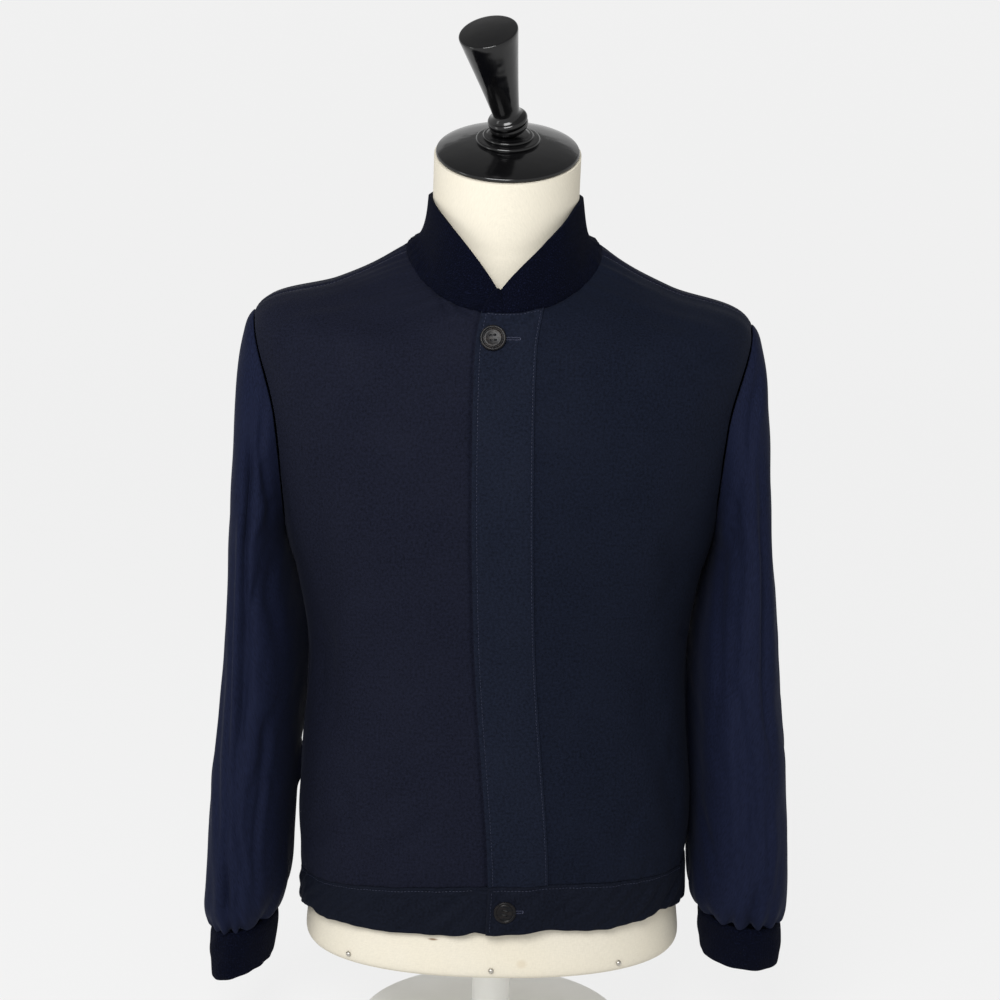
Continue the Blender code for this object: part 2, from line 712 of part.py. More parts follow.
def neck_cap():
    """The turned cap: a thick rim, a low crown and stepped mouldings."""
    rim = [Station(0.0, 0.0), *(point for part in CAP_RIM for point in arc(part))]
    steps = [point for part in CAP_STEPS for point in arc(part)]
    profile = [*rim, *CAP_CROWN, *steps, Station(0.0, CAP_HEIGHT)]
    turned("neck_cap", profile, cap_frame(), "lacquer", 26)


def finial():
    """The knob and the flared handle, screwed in at a slant."""
    cap_normal = Vector((0, -math.sin(CAP_TILT), math.cos(CAP_TILT)))
    lean = cap_normal.angle(FINIAL_AXIS)
    reach = math.hypot(KNOB_RADIUS * math.sin(lean), KNOB_HALF_HEIGHT * math.cos(lean))
    centre = NECK_TOP + cap_normal * (CAP_HEIGHT + LAYER_GAP + reach)
    angles = [math.radians(a) for a in range(-75, 46, 15)]
    knob = [Station(KNOB_RADIUS * math.cos(a), KNOB_HALF_HEIGHT * math.sin(a)) for a in angles]
    profile = [Station(0.0, -KNOB_HALF_HEIGHT), *knob, *HANDLE]
    turned("finial", profile, frame_at(centre, FINIAL_AXIS), "lacquer")


def tacks():
    """Small domed tacks round the form's lower edge."""
    skirt = FORM_SKIRT[1]
    rim = Round(0.0, 0.0, TACK_RADIUS, 0, 50, 2)
    dome = [Station(0.0, 0.0), *arc(rim), Station(0.0, TACK_DOME)]
    for count, turn in enumerate(TACK_TURNS):
        normal = level_normal(skirt, turn)
        frame = frame_at(ring_point(skirt, turn) + normal * TACK_GAP, normal)
        turned(f"tack_{count + 1}", dome, frame, "tack_steel", 8)


def stand():
    foot_top = FOOT_THICKNESS
    column_low = foot_top + REST_GAP
    column_high = FORM_SKIRT[0].front_z - REST_GAP
    column = [
        Station(0.0, column_low),
        Station(COLUMN_RADIUS, column_low),
        Station(COLUMN_RADIUS, column_high),
        Station(0.0, column_high),
    ]
    turned("stand_column", column, Matrix(), "white_coat")
    edge = Round(FOOT_RADIUS - FOOT_EDGE, foot_top - FOOT_EDGE, FOOT_EDGE, 0, 90, 3)
    foot = [Station(0.0, 0.0), Station(FOOT_RADIUS, 0.0), *arc(edge), Station(0.0, foot_top)]
    turned("stand_foot", foot, Matrix(), "white_coat", 40)


def main():
    for old in list(bpy.data.objects):
        bpy.data.objects.remove(old, do_unlink=True)
    fronts()
    placket()
    back()
    collar()
    waistband()
    for side in (-1, 1):
        sleeve(side)
        cuff(side)
    buttons()
    form_torso()
    neck_cap()
    finial()
    tacks()
    stand()


main()
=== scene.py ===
"""The looks of a navy bomber jacket worn by a limbless tailor's dress form.

Frame: metres, +Z up. The front faces -Y and the wearer's left side is at +X. The cloth of the body lies on
one surface: level counts up the rows of RINGS, from the waistband's seam to the collar's, and turn goes
round each ring in degrees, 0 at the centre front, 90 at the wearer's left, 180 at the centre back.
"""

import math
import random
from collections import namedtuple
from functools import partial

import bmesh
import bpy
import numpy as np
from bpy.props import FloatProperty, FloatVectorProperty, PointerProperty
from mathutils import Matrix, Vector


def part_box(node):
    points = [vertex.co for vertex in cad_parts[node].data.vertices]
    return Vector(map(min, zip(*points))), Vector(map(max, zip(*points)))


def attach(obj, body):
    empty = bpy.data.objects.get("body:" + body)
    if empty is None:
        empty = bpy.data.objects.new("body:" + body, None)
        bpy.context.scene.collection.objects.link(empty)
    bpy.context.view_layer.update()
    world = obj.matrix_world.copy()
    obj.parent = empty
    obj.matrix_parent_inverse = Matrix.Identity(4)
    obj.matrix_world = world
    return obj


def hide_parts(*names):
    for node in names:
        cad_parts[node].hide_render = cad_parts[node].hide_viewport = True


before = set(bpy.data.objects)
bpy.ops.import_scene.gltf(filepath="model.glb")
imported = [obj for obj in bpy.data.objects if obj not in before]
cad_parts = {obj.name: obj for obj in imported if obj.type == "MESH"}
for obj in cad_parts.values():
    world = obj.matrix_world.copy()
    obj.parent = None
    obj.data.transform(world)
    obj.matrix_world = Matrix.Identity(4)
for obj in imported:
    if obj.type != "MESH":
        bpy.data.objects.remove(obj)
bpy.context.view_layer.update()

bl_info = {
    "name": "Bomber Jacket on a Dress Form",
    "version": (1, 0, 0),
    "blender": (4, 5, 0),
    "location": "3D View > Sidebar > Jacket",
    "description": "Cloth, rib knit, stitching, buttons and form of a navy bomber jacket",
    "category": "Add Mesh",
}

# ---- The jacket's form ----

PLACKET_WIDTH = 0.052
UNDERLAP = 0.040  # how far the right front runs under the left one
LAP_EASES = 0.060  # from the lap's edge to where it lies on nothing but the form
FRONT_ROWS = (112, 48, 34)  # rows of a panel below, beside and above its armhole
BACK_ROWS = (96, 44, 34)
SLEEVE_ROWS = (66, 152)  # rows of its head and of its length
SLEEVE_COLUMNS = 148
WAISTBAND_COLUMNS = 470
LINE_COLUMNS = 900  # columns round the waistband where lines and places on it are found
MEASURED_STEPS = 1500  # steps by which a band's or cuff's length is measured
COLLAR_LENGTH = 0.470
CUFF_HEIGHT = 0.040
WAISTBAND_UNDERLAP = 0.050
COLLAR_UNDERLAP = 0.024
BAND_HEIGHT = 0.043  # of the waistband
BAND_LENGTH = 1.16
EDGE_LINE = 0.0042  # from the lap's edge to its line of stitches
SECOND_LINE = 0.0500
BAND_LINE = 0.0035  # from the waistband's seam to its line of stitches
NECK_BUTTON_LEVEL = 7.02
ARMPIT_LEVEL = 4.0
SHOULDER_TIP_LEVEL = 6.0
ARMHOLE_FRONT = 24.0  # degrees of turn from the armhole's middle to its front edge
ARMHOLE_BACK = 29.0
SHOULDER_SEAM_FORWARD = 5.0
HEAD_DROP = 1.4  # how steeply a sleeve leaves its armhole
HEAD_LEAVE = 0.50
HEAD_ARRIVE = 0.90
SLEEVE_TOE_IN = 0.13
SLEEVE_RADIUS = 0.05
SHOULDER_RISE = 0.0050  # of the cloth where it meets the collar beside the neck
SEAM_TUCK = (0.0025, 0.0022)  # how far a sleeve's edge runs in under the armhole's, and how deep

Ring = namedtuple(
    "Ring",
    "front_z side_z back_z half_width front back square fall lap_x tilt middle_y",
    defaults=(0.0, 0.0, 0.0),
)
RINGS = (
    Ring(0.1875, 0.172, 0.176, 0.1765, 0.128, 0.121, 2.30, 2.0, -0.0040, 0.040),  # waistband's seam
    Ring(0.240, 0.232, 0.234, 0.1795, 0.132, 0.125, 2.30, 2.0, -0.0068, 0.025),  # hip
    Ring(0.365, 0.365, 0.365, 0.1715, 0.125, 0.112, 2.25, 2.0, -0.0175),  # waist
    Ring(0.445, 0.440, 0.445, 0.1805, 0.130, 0.118, 2.30, 2.0, -0.0215),  # ribs
    Ring(0.520, 0.480, 0.515, 0.1915, 0.133, 0.126, 2.40, 2.0, -0.0235),  # armpit
    Ring(0.588, 0.585, 0.605, 0.2110, 0.126, 0.125, 2.50, 2.0, -0.0243, -0.004),  # chest
    Ring(0.640, 0.675, 0.656, 0.2190, 0.113, 0.106, 2.45, 2.0, -0.0240, -0.012),  # shoulder tips
    Ring(0.667, 0.703, 0.704, 0.1480, 0.102, 0.090, 2.20, 1.6, -0.0225, -0.010),  # middle of the shoulder
    Ring(0.688, 0.732, 0.748, 0.0800, 0.093, 0.078, 2.10, 1.1, -0.0185),  # collar's seam
)
HEM = Ring(0.1435, 0.1370, 0.136, 0.1775, 0.129, 0.122, 2.30, 2.0, -0.0055, 0.040)
COLLAR_TOP = Ring(0.7000, 0.7805, 0.792, 0.0685, 0.085, 0.073, 2.10, 0.8, -0.0035)

Sleeve = namedtuple("Sleeve", "inner_x outer_x inner_z outer_z front_y back_y square")
SLEEVES = {
    "left": (
        Sleeve(0.1850, 0.2420, 0.440, 0.440, -0.084, 0.090, 2.3),
        Sleeve(0.1785, 0.2500, 0.370, 0.370, -0.086, 0.082, 2.3),
        Sleeve(0.1815, 0.2585, 0.290, 0.290, -0.086, 0.068, 2.3),
        Sleeve(0.1840, 0.2655, 0.215, 0.215, -0.083, 0.055, 2.3),
        Sleeve(0.1835, 0.2680, 0.166, 0.162, -0.080, 0.046, 2.2),
        Sleeve(0.1845, 0.2675, 0.144, 0.140, -0.077, 0.040, 2.1),
        Sleeve(0.1915, 0.2640, 0.130, 0.126, -0.068, 0.030, 2.0),
    ),
    "right": (
        Sleeve(0.1850, 0.2370, 0.440, 0.440, -0.084, 0.090, 2.3),
        Sleeve(0.1785, 0.2420, 0.370, 0.370, -0.086, 0.082, 2.3),
        Sleeve(0.1825, 0.2490, 0.290, 0.290, -0.086, 0.068, 2.3),
        Sleeve(0.1860, 0.2565, 0.215, 0.215, -0.083, 0.055, 2.3),
        Sleeve(0.1885, 0.2610, 0.158, 0.151, -0.080, 0.046, 2.2),
        Sleeve(0.1930, 0.2612, 0.135, 0.128, -0.077, 0.040, 2.1),
        Sleeve(0.2000, 0.2565, 0.120, 0.111, -0.068, 0.030, 2.0),
    ),
}
CUFFS = {
    "left": (
        SLEEVES["left"][-1],
        Sleeve(0.1930, 0.2660, 0.109, 0.105, -0.066, 0.028, 2.0),
        Sleeve(0.1950, 0.2640, 0.088, 0.084, -0.062, 0.024, 2.0),
    ),
    "right": (
        SLEEVES["right"][-1],
        Sleeve(0.2020, 0.2580, 0.096, 0.086, -0.066, 0.028, 2.0),
        Sleeve(0.2045, 0.2570, 0.075, 0.061, -0.062, 0.024, 2.0),
    ),
}

# The largest folds, on the body by turn and on a sleeve by the angle from its outer side over its front.
Fold = namedtuple("Fold", "from_turn from_z to_turn to_z depth half_width")
FOLD_TAIL = 0.3
BODY_GIRTH = 0.0026  # metres round the body in a degree of turn
NECK_GIRTH = 0.0016
SLEEVE_GIRTH = 0.0011
BODY_FOLDS = (
    Fold(-62, 0.45, -60, 0.27, 0.0040, 0.020),
    Fold(-50, 0.235, -66, 0.195, 0.0030, 0.014),
    Fold(56, 0.29, 64, 0.215, 0.0035, 0.016),
    Fold(150, 0.42, 156, 0.22, 0.0040, 0.024),
    Fold(205, 0.44, 200, 0.24, 0.0040, 0.022),
)
SLEEVE_FOLDS = {
    "left": (
        Fold(62, 0.60, 70, 0.33, 0.0045, 0.012),
        Fold(112, 0.36, 84, 0.17, 0.0040, 0.012),
        Fold(84, 0.17, 88, 0.125, 0.0050, 0.008),
        Fold(250, 0.52, 262, 0.26, 0.0022, 0.018),
        Fold(222, 0.50, 224, 0.145, -0.0095, 0.025),  # cloth that bears on the body behind its side
    ),
    "right": (
        Fold(74, 0.60, 92, 0.42, 0.0045, 0.012),
        Fold(98, 0.40, 78, 0.24, 0.0045, 0.012),
        Fold(76, 0.18, 82, 0.122, 0.0050, 0.008),
        Fold(255, 0.50, 248, 0.24, 0.0050, 0.016),
        Fold(222, 0.46, 222, 0.285, -0.0085, 0.025),
        Fold(222, 0.262, 222, 0.234, -0.0085, 0.025),
    ),
}

Crease = namedtuple("Crease", "view x1 z1 x2 z2 bow depth width ridge")


def creases(**views):
    """The smaller creases, from rows for each side that they are seen from.

    A row has the line's ends as x1, z1, x2, z2 (y in place of x from the left or right), its bow, depth and
    width, all in mm, and how much the cloth beside it rises, as a share of the depth.
    """
    made = []
    for view, rows in views.items():
        made += [Crease(view, *(size / 1000 for size in row[:-1]), row[-1]) for row in rows]
    return made


BODY_CREASES = creases(
    front=(
        (-58, 703, -42, 687, 1, 1.4, 3, 0.4),
        (-46, 699, -26, 685, 1, 1.2, 2.8, 0.4),
        (-151, 520, -148, 338, 4, 2.4, 12, 0.3),
        (-104, 417, -145, 299, 6, 2, 16, 0.2),
        (-77, 272, -112, 238, 3, 1.8, 10, 0.3),
        (-49, 248, -91, 212, 3, 1.5, 9, 0.3),
        (-140, 270, -120, 205, -3, 1.4, 7, 0.4),
        (-160, 400, -146, 386, 1, 1.5, 3, 0.5),
        (-158, 362, -144, 352, 1, 1.5, 3, 0.5),
        (-158, 332, -146, 326, -1, 1.3, 3, 0.5),
        (-182, 660, -150, 640, 3, 1.2, 8, 0.2),
        (152, 500, 157, 430, 2, 3.2, 14, 0.2),
        (113, 391, 153, 283, -6, 2.6, 15, 0.25),
        (150, 657, 198, 640, 3, 1.3, 6, 0.3),
        (147, 636, 190, 624, 2, 1.3, 5, 0.3),
        (155, 304, 167, 287, 1, 1.6, 3.5, 0.5),
        (162, 405, 166, 392, 0, 1.4, 3, 0.5),
        (60, 262, 92, 216, -3, 1.2, 9, 0.3),
        (130, 262, 112, 205, 3, 1.2, 7, 0.3),
        (0, 679, 21, 691, 1, 0.9, 2.2, 0.5),
        (18, 681, 32, 690, -1, 0.9, 2, 0.5),
    ),
    back=(
        (-120, 640, -150, 560, 4, 2.2, 12, 0.3),
        (118, 632, 152, 540, -5, 2.4, 13, 0.3),
        (-90, 520, -118, 420, 6, 2, 14, 0.2),
        (62, 470, 80, 350, 6, 1.8, 13, 0.2),
        (6, 420, -12, 290, 4, 1.4, 13, 0.2),
        (-52, 300, -80, 215, 3, 1.8, 10, 0.3),
        (104, 290, 122, 206, -3, 1.7, 9, 0.3),
        (30, 262, 44, 205, -2, 1.2, 8, 0.3),
    ),
    left=(
        (30, 420, 12, 320, 3, 2.2, 8, 0.4),
        (-20, 350, 6, 240, 4, 2, 9, 0.4),
    ),
    right=(
        (-24, 390, -2, 280, 3, 2, 8, 0.4),
        (36, 340, 14, 226, -3, 2.2, 9, 0.4),
    ),
)
SLEEVE_CREASES = {
    "right": creases(
        front=(
            (-219, 645, -217, 520, 2, 2, 4.5, 0.5),
            (-206, 612, -202, 493, 2, 2.2, 4, 0.5),
            (-211, 519, -223, 479, 1, 1.4, 3.5, 0.5),
            (-207, 464, -218, 380, 2, 1.8, 4.5, 0.4),
            (-200, 465, -194, 381, 2, 2, 4.5, 0.5),
            (-197, 321, -215, 242, 2, 1.6, 5, 0.4),
            (-205, 322, -205, 298, 0, 1.2, 3, 0.4),
            (-200, 273, -199, 251, 0, 1, 3, 0.4),
            (-229, 500, -238, 250, 2, 2.6, 3.2, 0.8),
            (-241, 400, -247, 215, 2, 2, 2.6, 0.8),
            (-230, 245, -222, 170, 2, 1.8, 2.8, 0.6),
            (-214, 600, -222, 330, 3, 2.2, 3.4, 0.6),
            (-203, 300, -214, 160, 2, 1.8, 3, 0.6),
            (-238, 230, -240, 150, 1, 1.8, 2.6, 0.6),
        ),
        right=(
            (-30, 470, -40, 340, 4, 2.2, 6, 0.5),
            (-52, 390, -34, 220, 4, 1.8, 5.5, 0.5),
            (4, 420, 22, 310, 4, 2.2, 7, 0.4),
            (34, 340, -4, 230, -4, 2, 6, 0.5),
            (20, 590, 40, 480, 4, 2.2, 8, 0.4),
        ),
        back=(
            (-208, 560, -222, 430, 4, 2.4, 7, 0.5),
            (-228, 400, -206, 290, 4, 2.2, 6, 0.5),
            (-214, 300, -226, 210, 3, 1.8, 5, 0.4),
        ),
    ),
    "left": creases(
        front=(
            (224, 668, 216, 545, 1, 2.4, 4, 0.8),
            (209, 560, 210, 437, 2, 1.6, 5, 0.4),
            (208, 437, 207, 361, 1, 1.6, 5, 0.4),
            (175, 371, 197, 199, 4, 1.8, 4.5, 0.5),
            (178, 290, 196, 190, 2, 1.4, 3.5, 0.5),
            (214, 330, 226, 195, 3, 1.6, 3.2, 0.5),
            (234, 470, 246, 290, 3, 1.8, 3.4, 0.5),
            (202, 500, 196, 330, 2, 1.8, 3.4, 0.6),
            (246, 260, 250, 160, 2, 1.6, 3, 0.5),
        ),
        left=(
            (-26, 480, -42, 350, 4, 2, 6, 0.5),
            (-50, 360, -30, 220, 4, 1.6, 6, 0.4),
            (6, 440, 26, 320, 4, 2.2, 7, 0.4),
            (30, 330, 0, 225, -4, 2, 6, 0.5),
            (16, 600, 36, 500, 4, 2, 8, 0.4),
        ),
        back=(
            (206, 550, 222, 420, 4, 2.4, 7, 0.5),
            (230, 390, 210, 280, 4, 2.2, 6, 0.5),
            (214, 290, 230, 205, 3, 1.8, 5, 0.4),
        ),
    ),
}
VIEWS = {"front": (0, (0, -1, 0)), "back": (0, (0, 1, 0)), "left": (1, (1, 0, 0)), "right": (1, (-1, 0, 0))}

# The unevenness of each piece: its height, the seed of its chance, and its shortest and longest wave.
Waves = namedtuple("Waves", "height seed shortest longest stretch", defaults=(1.0,))
UNEVEN = {
    "body": Waves(0.00035, 3, 0.020, 0.075, 1.8),
    "waistband's seam": Waves(0.0009, 11, 0.012, 0.034),
    "collar's seam": Waves(0.0007, 12, 0.007, 0.018),
    "waistband": Waves(0.0011, 21, 0.012, 0.034),
    "hem": Waves(0.0012, 31, 0.045, 0.140),
    "hem behind": Waves(0.0010, 32, 0.060, 0.180),
    "collar": Waves(0.0005, 41, 0.030, 0.090),
    "sleeve": Waves(0.0005, 51, 0.020, 0.060, 4.5),
    "sleeve's nap": Waves(0.0003, 61, 0.010, 0.024, 3.0),
    "cuff": Waves(0.0007, 71, 0.020, 0.060),
}
WAVES_OF_EACH = 14
BODY_ROOM = 0.0062  # how far folds may go in before the cloth meets what is under it
SLEEVE_ROOM = 0.0085

# ---- The dress form ----

FORM_EASE = 0.0075
FORM_SIDE_EASE = 0.006
FORM_SKIRT = (
    Ring(0.100, 0.100, 0.100, 0.1700, 0.122, 0.115, 2.30, 2.0),
    Ring(0.108, 0.108, 0.108, 0.1725, 0.1245, 0.1175, 2.30, 2.0),
    Ring(0.146, 0.140, 0.142, 0.1695, 0.1215, 0.1145, 2.30, 2.0),
)
FORM_NECK = (
    Ring(0.694, 0.732, 0.742, 0.0670, 0.074, 0.060, 2.00, 1.3),
    Ring(0.735, 0.762, 0.772, 0.0640, 0.064, 0.060, 2.00, 1.6, 0.0, 0.0, -0.004),
)
NECK_RADIUS = 0.0640
NECK_TOP = Vector((0.001, -0.0123, 0.8175))
CAP_TILT = math.radians(20)
CAP_HEIGHT = 0.0194
CAP_AXIS = Vector((0, -math.sin(CAP_TILT), math.cos(CAP_TILT)))
FINIAL_AXIS = Vector((-0.200, -0.491, 0.848)).normalized()
KNOB_RADIUS = 0.017
KNOB_HALF_HEIGHT = 0.0075
TACK_TURNS = (0, 39, 104, 145, 180, 215, 256, 315)


# ---- Sizes and colours that a user would change ----


def linear(code):
    """An sRGB hex colour as linear red, green and blue."""
    channels = [int(code[k : k + 2], 16) / 255 for k in (0, 2, 4)]
    return [c / 12.92 if c <= 0.04045 else ((c + 0.055) / 1.055) ** 2.4 for c in channels]


def size_property(name, description, default):
    return FloatProperty(
        name=name, description=description, default=default, min=0.0, unit="LENGTH", precision=5
    )


def share_property(name, description, default):
    return FloatProperty(name=name, description=description, default=default, min=0.0, subtype="FACTOR")


def strength_property(name, description, default):
    return FloatProperty(name=name, description=description, default=default, min=0.0)


def angle_property(name, description, degrees):
    return FloatProperty(name=name, description=description, default=math.radians(degrees), subtype="ANGLE")


def colour_property(name, description, code):
    return FloatVectorProperty(
        name=name, description=description, default=linear(code), size=3, min=0.0, max=1.0, subtype="COLOR"
    )


class JacketSizes(bpy.types.PropertyGroup):
    """Thicknesses, folds and stitches of the jacket."""

    cloth_wall: size_property("Cloth", "Thickness of the jacket cloth", 0.0006)
    layer: size_property("Layer", "How far a lapped layer lies over the one below", 0.0011)
    band_wall: size_property("Waistband", "Thickness of the doubled waistband", 0.0022)
    rib_wall: size_property("Rib knit", "Thickness of the doubled rib knit", 0.0024)
    rib_pitch: size_property("Rib pitch", "From one rib of the knit to the next", 0.0023)
    rib_height: size_property("Rib height", "How far a rib stands out", 0.00032)
    stitch_pitch: size_property("Stitch pitch", "From one stitch to the next", 0.0031)
    stitch_length: size_property("Stitch length", "Length of the thread that shows", 0.0023)
    thread: size_property("Thread", "Thickness of the sewing thread", 0.00042)
    seam_dip: size_property("Seam dip", "How deep the cloth is drawn in at a seam", 0.0011)
    fold_strength: share_property("Folds", "Depth of all folds and creases", 1.35)


class JacketColours(bpy.types.PropertyGroup):
    """Colours of the jacket and of the form."""

    body: colour_property("Body", "Navy twill of the fronts, back and waistband", "0E101B")
    left: colour_property("Left front", "A little greener than the other panels", "0B0F1A")
    fly: colour_property("Fly", "The covered fly, less faded", "0E121D")
    # The waistband's colour is painted shade: the body's twill made darker, for the band facing down and
    # catching less light.
    band: colour_property("Waistband", "The doubled band, darker for its crossed lie", "0B0E17")
    # The sleeves' colour is painted light: the body's twill made lighter and bluer, for the light that falls
    # on the sleeves.
    sleeve: colour_property("Sleeves", "The same twill, cut on another lie of its nap", "0F1324")
    rib: colour_property("Rib knit", "Collar and cuffs", "050713")
    thread: colour_property("Thread", "Topstitching", "1D2238")
    button: colour_property("Buttons", "Dark horn", "0B0C0F")
    linen: colour_property("Linen", "Cover of the dress form", "CAC4B5")
    lacquer: colour_property("Lacquer", "Neck cap and finial", "060607")
    steel: colour_property("Tacks", "Nickel-plated steel", "B9B5AD")
    coat: colour_property("Stand", "Powder coat of the column and foot", "E9E9E6")


class StudioSettings(bpy.types.PropertyGroup):
    """Camera, light and floor."""

    distance: size_property("Distance", "From the camera to the jacket's middle", 2.2)
    aim_height: size_property("Aim", "Height that the camera looks at", 0.507)
    pitch: angle_property("Pitch", "How far the camera looks down", 12.0)
    roll: angle_property("Roll", "How far the camera is turned", 1.1)
    lens: FloatProperty(name="Lens", description="Focal length", default=87.98, unit="CAMERA")
    key: strength_property("Key light", "Power of the large front light", 63.0)
    fill: strength_property("Side light", "Power of the light at the left", 8.0)
    sky: strength_property("Sky", "Strength of the even light from all round", 0.35)
    glow: strength_property("Glow", "Light that shines through the paper", 0.81)
    floor: colour_property("Floor", "Pale paper of the floor and backdrop", "505050")


# ---- Smooth shapes from the tables ----


def unit(vectors):
    return vectors / np.linalg.norm(vectors, axis=-1, keepdims=True)


def ease(value, low, high):
    """0 below low, 1 above high, smooth between them."""
    part = np.clip((value - low) / (high - low), 0.0, 1.0)
    return part * part * (3 - 2 * part)


def between(rows, level):
    """The rows of a table at fractional places, on smooth curves through them."""
    table = np.array(rows)
    level = np.asarray(level, float)
    last = len(table) - 1
    first = np.clip(np.floor(level).astype(int), 0, last - 1)
    part = (level - first)[..., None]
    before, start, end, after = (table[np.clip(first + k, 0, last)] for k in (-1, 0, 1, 2))
    mixed = (
        before * (-0.5 * part + part**2 - 0.5 * part**3)
        + start * (1 - 2.5 * part**2 + 1.5 * part**3)
        + end * (0.5 * part + 2 * part**2 - 1.5 * part**3)
        + after * (-0.5 * part**2 + 0.5 * part**3)
    )
    return type(rows[0])(*np.moveaxis(mixed, -1, 0))


def ring_points(ring, turn):
    """Points of rings at turns in degrees."""
    across = np.sin(np.radians(turn))
    ahead = np.cos(np.radians(turn))
    size = (np.abs(across) ** ring.square + np.abs(ahead) ** ring.square) ** (-1 / np.asarray(ring.square))
    x = ring.half_width * size * across
    reach = np.where(ahead > 0, ring.front, ring.back)
    end_z = np.where(ahead > 0, ring.front_z, ring.back_z)
    power = np.where(ahead > 0, ring.fall, 2.0)
    steep = 1 - np.abs(across) ** power
    slope = np.where((power < 1) & (ahead > 0), steep, np.abs(ahead) ** power)
    z = ring.side_z + (end_z - ring.side_z) * slope
    return np.stack(np.broadcast_arrays(x, ring.middle_y - reach * size * ahead, z + ring.tilt * x), axis=-1)


def turn_at_x(ring, x):
    """The turn at which the front of a ring is this far across."""
    return np.degrees(np.arcsin(np.clip(x / ring.half_width, -1, 1)))


def body_points(turn, level):
    return ring_points(between(RINGS, level), turn)


def body_normals(turn, level):
    along = body_points(turn + 1.0, level) - body_points(turn - 1.0, level)
    up = body_points(turn, level + 0.02) - body_points(turn, level - 0.02)
    return unit(np.cross(along, up))


def lengths(points, axis):
    """How far along the rows or columns of a grid each point is."""
    steps = np.linalg.norm(np.diff(points, axis=axis), axis=-1)
    start = np.zeros_like(np.take(steps, [0], axis=axis))
    return np.concatenate([start, np.cumsum(steps, axis=axis)], axis=axis)


def grid_normals(points, closed=False):
    """Unit normals of a grid whose columns run to the right and whose rows run up, seen from outside."""
    if closed:
        along = np.roll(points, -1, axis=1) - np.roll(points, 1, axis=1)
    else:
        along = np.gradient(points, axis=1)
    return unit(np.cross(along, np.gradient(points, axis=0)))


def spread(stops, counts):
    """Columns of turns between the stops of each row, with so many steps in each stretch."""
    parts = [stops[0][:, None]]
    for start, end, count in zip(stops, stops[1:], counts):
        share = np.arange(1, count + 1) / count
        parts.append(start[:, None] + (end - start)[:, None] * share)
    return np.concatenate(parts, axis=1)


# ---- Folds, creases and unevenness ----


def troughs(folds, turn, z, girth):
    """How far the large folds press the cloth in."""
    total = np.zeros(np.broadcast(turn, z).shape)
    for fold in folds:
        along = (z - fold.from_z) / (fold.to_z - fold.from_z)
        centre = fold.from_turn + (fold.to_turn - fold.from_turn) * along
        aside = (turn - centre) * girth / fold.half_width
        inside = np.clip((along + FOLD_TAIL) / (1 + 2 * FOLD_TAIL), 0, 1)
        total += fold.depth * np.sin(math.pi * inside) ** 2 * np.exp(-(aside**2))
    return total


def pressed(points, normals, creases):
    """How far the creases press the cloth in; beside a crease with a ridge the cloth rises."""
    total = np.zeros(points.shape[:-1])
    for number, crease in enumerate(creases):
        axis, facing = VIEWS[crease.view]
        across = points[..., axis] - crease.x1
        rise = points[..., 2] - crease.z1
        run_x, run_z = crease.x2 - crease.x1, crease.z2 - crease.z1
        length = math.hypot(run_x, run_z)
        along = (across * run_x + rise * run_z) / length**2
        aside = (across * run_z - rise * run_x) / length - crease.bow * 4 * along * (1 - along)
        aside = aside / crease.width + 0.35 * np.sin(7 * along + 2.1 * number)
        inside = np.clip((along + FOLD_TAIL) / (1 + 2 * FOLD_TAIL), 0, 1)
        side = 1.7 if number % 2 else -1.7
        profile = np.exp(-(aside**2)) - crease.ridge * np.exp(-((aside - side) ** 2) / 1.5)
        seen = ease(normals @ np.array(facing, float), 0.0, 0.4)
        total += crease.depth * np.sin(math.pi * inside) ** 1.5 * seen * profile
    return total


def ripple(which, across, along, side=0):
    """A piece's unevenness at places across and along its cloth, which stretch draws out along it."""
    height, seed, shortest, longest, stretch = UNEVEN[which]
    chance = random.Random(seed + side)
    total = 0.0
    for _ in range(WAVES_OF_EACH):
        length = chance.uniform(shortest, longest)
        heading = chance.uniform(0, math.pi)
        phase = chance.uniform(0, 2 * math.pi)
        place = across * math.cos(heading) + along * math.sin(heading) / stretch
        total = total + np.cos(2 * math.pi * place / length + phase)
    return height * total * math.sqrt(2 / WAVES_OF_EACH) / 1.6


def near(distance, reach):
    """1 at a seam, falling off smoothly."""
    return np.exp(-((distance / reach) ** 2))


# ---- Meshes ----


def shell(name, points, closed_across=False, closed_along=False, cloth=None):
    """A grid of points as a mesh with a map of its cloth in metres, its edges joined where it is closed."""
    if closed_across:
        points = np.concatenate([points, points[:, :1]], axis=1)
    if closed_along:
        points = np.concatenate([points, points[:1]], axis=0)
    rows, columns = points.shape[0] - 1, points.shape[1] - 1
    mesh = bmesh.new()
    bmesh.ops.create_grid(mesh, x_segments=columns, y_segments=rows, size=0.5)
    data = bpy.data.meshes.new(name)
    mesh.to_mesh(data)
    flat = np.empty(len(data.vertices) * 3)
    data.vertices.foreach_get("co", flat)
    flat = flat.reshape(-1, 3)
    column = np.rint((flat[:, 0] + 0.5) * columns).astype(int)
    row = np.rint((flat[:, 1] + 0.5) * rows).astype(int)
    data.vertices.foreach_set("co", points[row, column].ravel())
    if cloth is None:
        cloth = np.stack([lengths(points, 1), lengths(points, 0)], axis=-1)
    corners = np.empty(len(data.loops), int)
    data.loops.foreach_get("vertex_index", corners)
    data.uv_layers.new(name="cloth").uv.foreach_set("vector", cloth[row, column][corners].ravel())
    mesh.clear()
    mesh.from_mesh(data)
    edge = [vert for vert in mesh.verts if vert.is_boundary]
    bmesh.ops.remove_doubles(mesh, verts=edge, dist=1e-6)
    return mesh, data


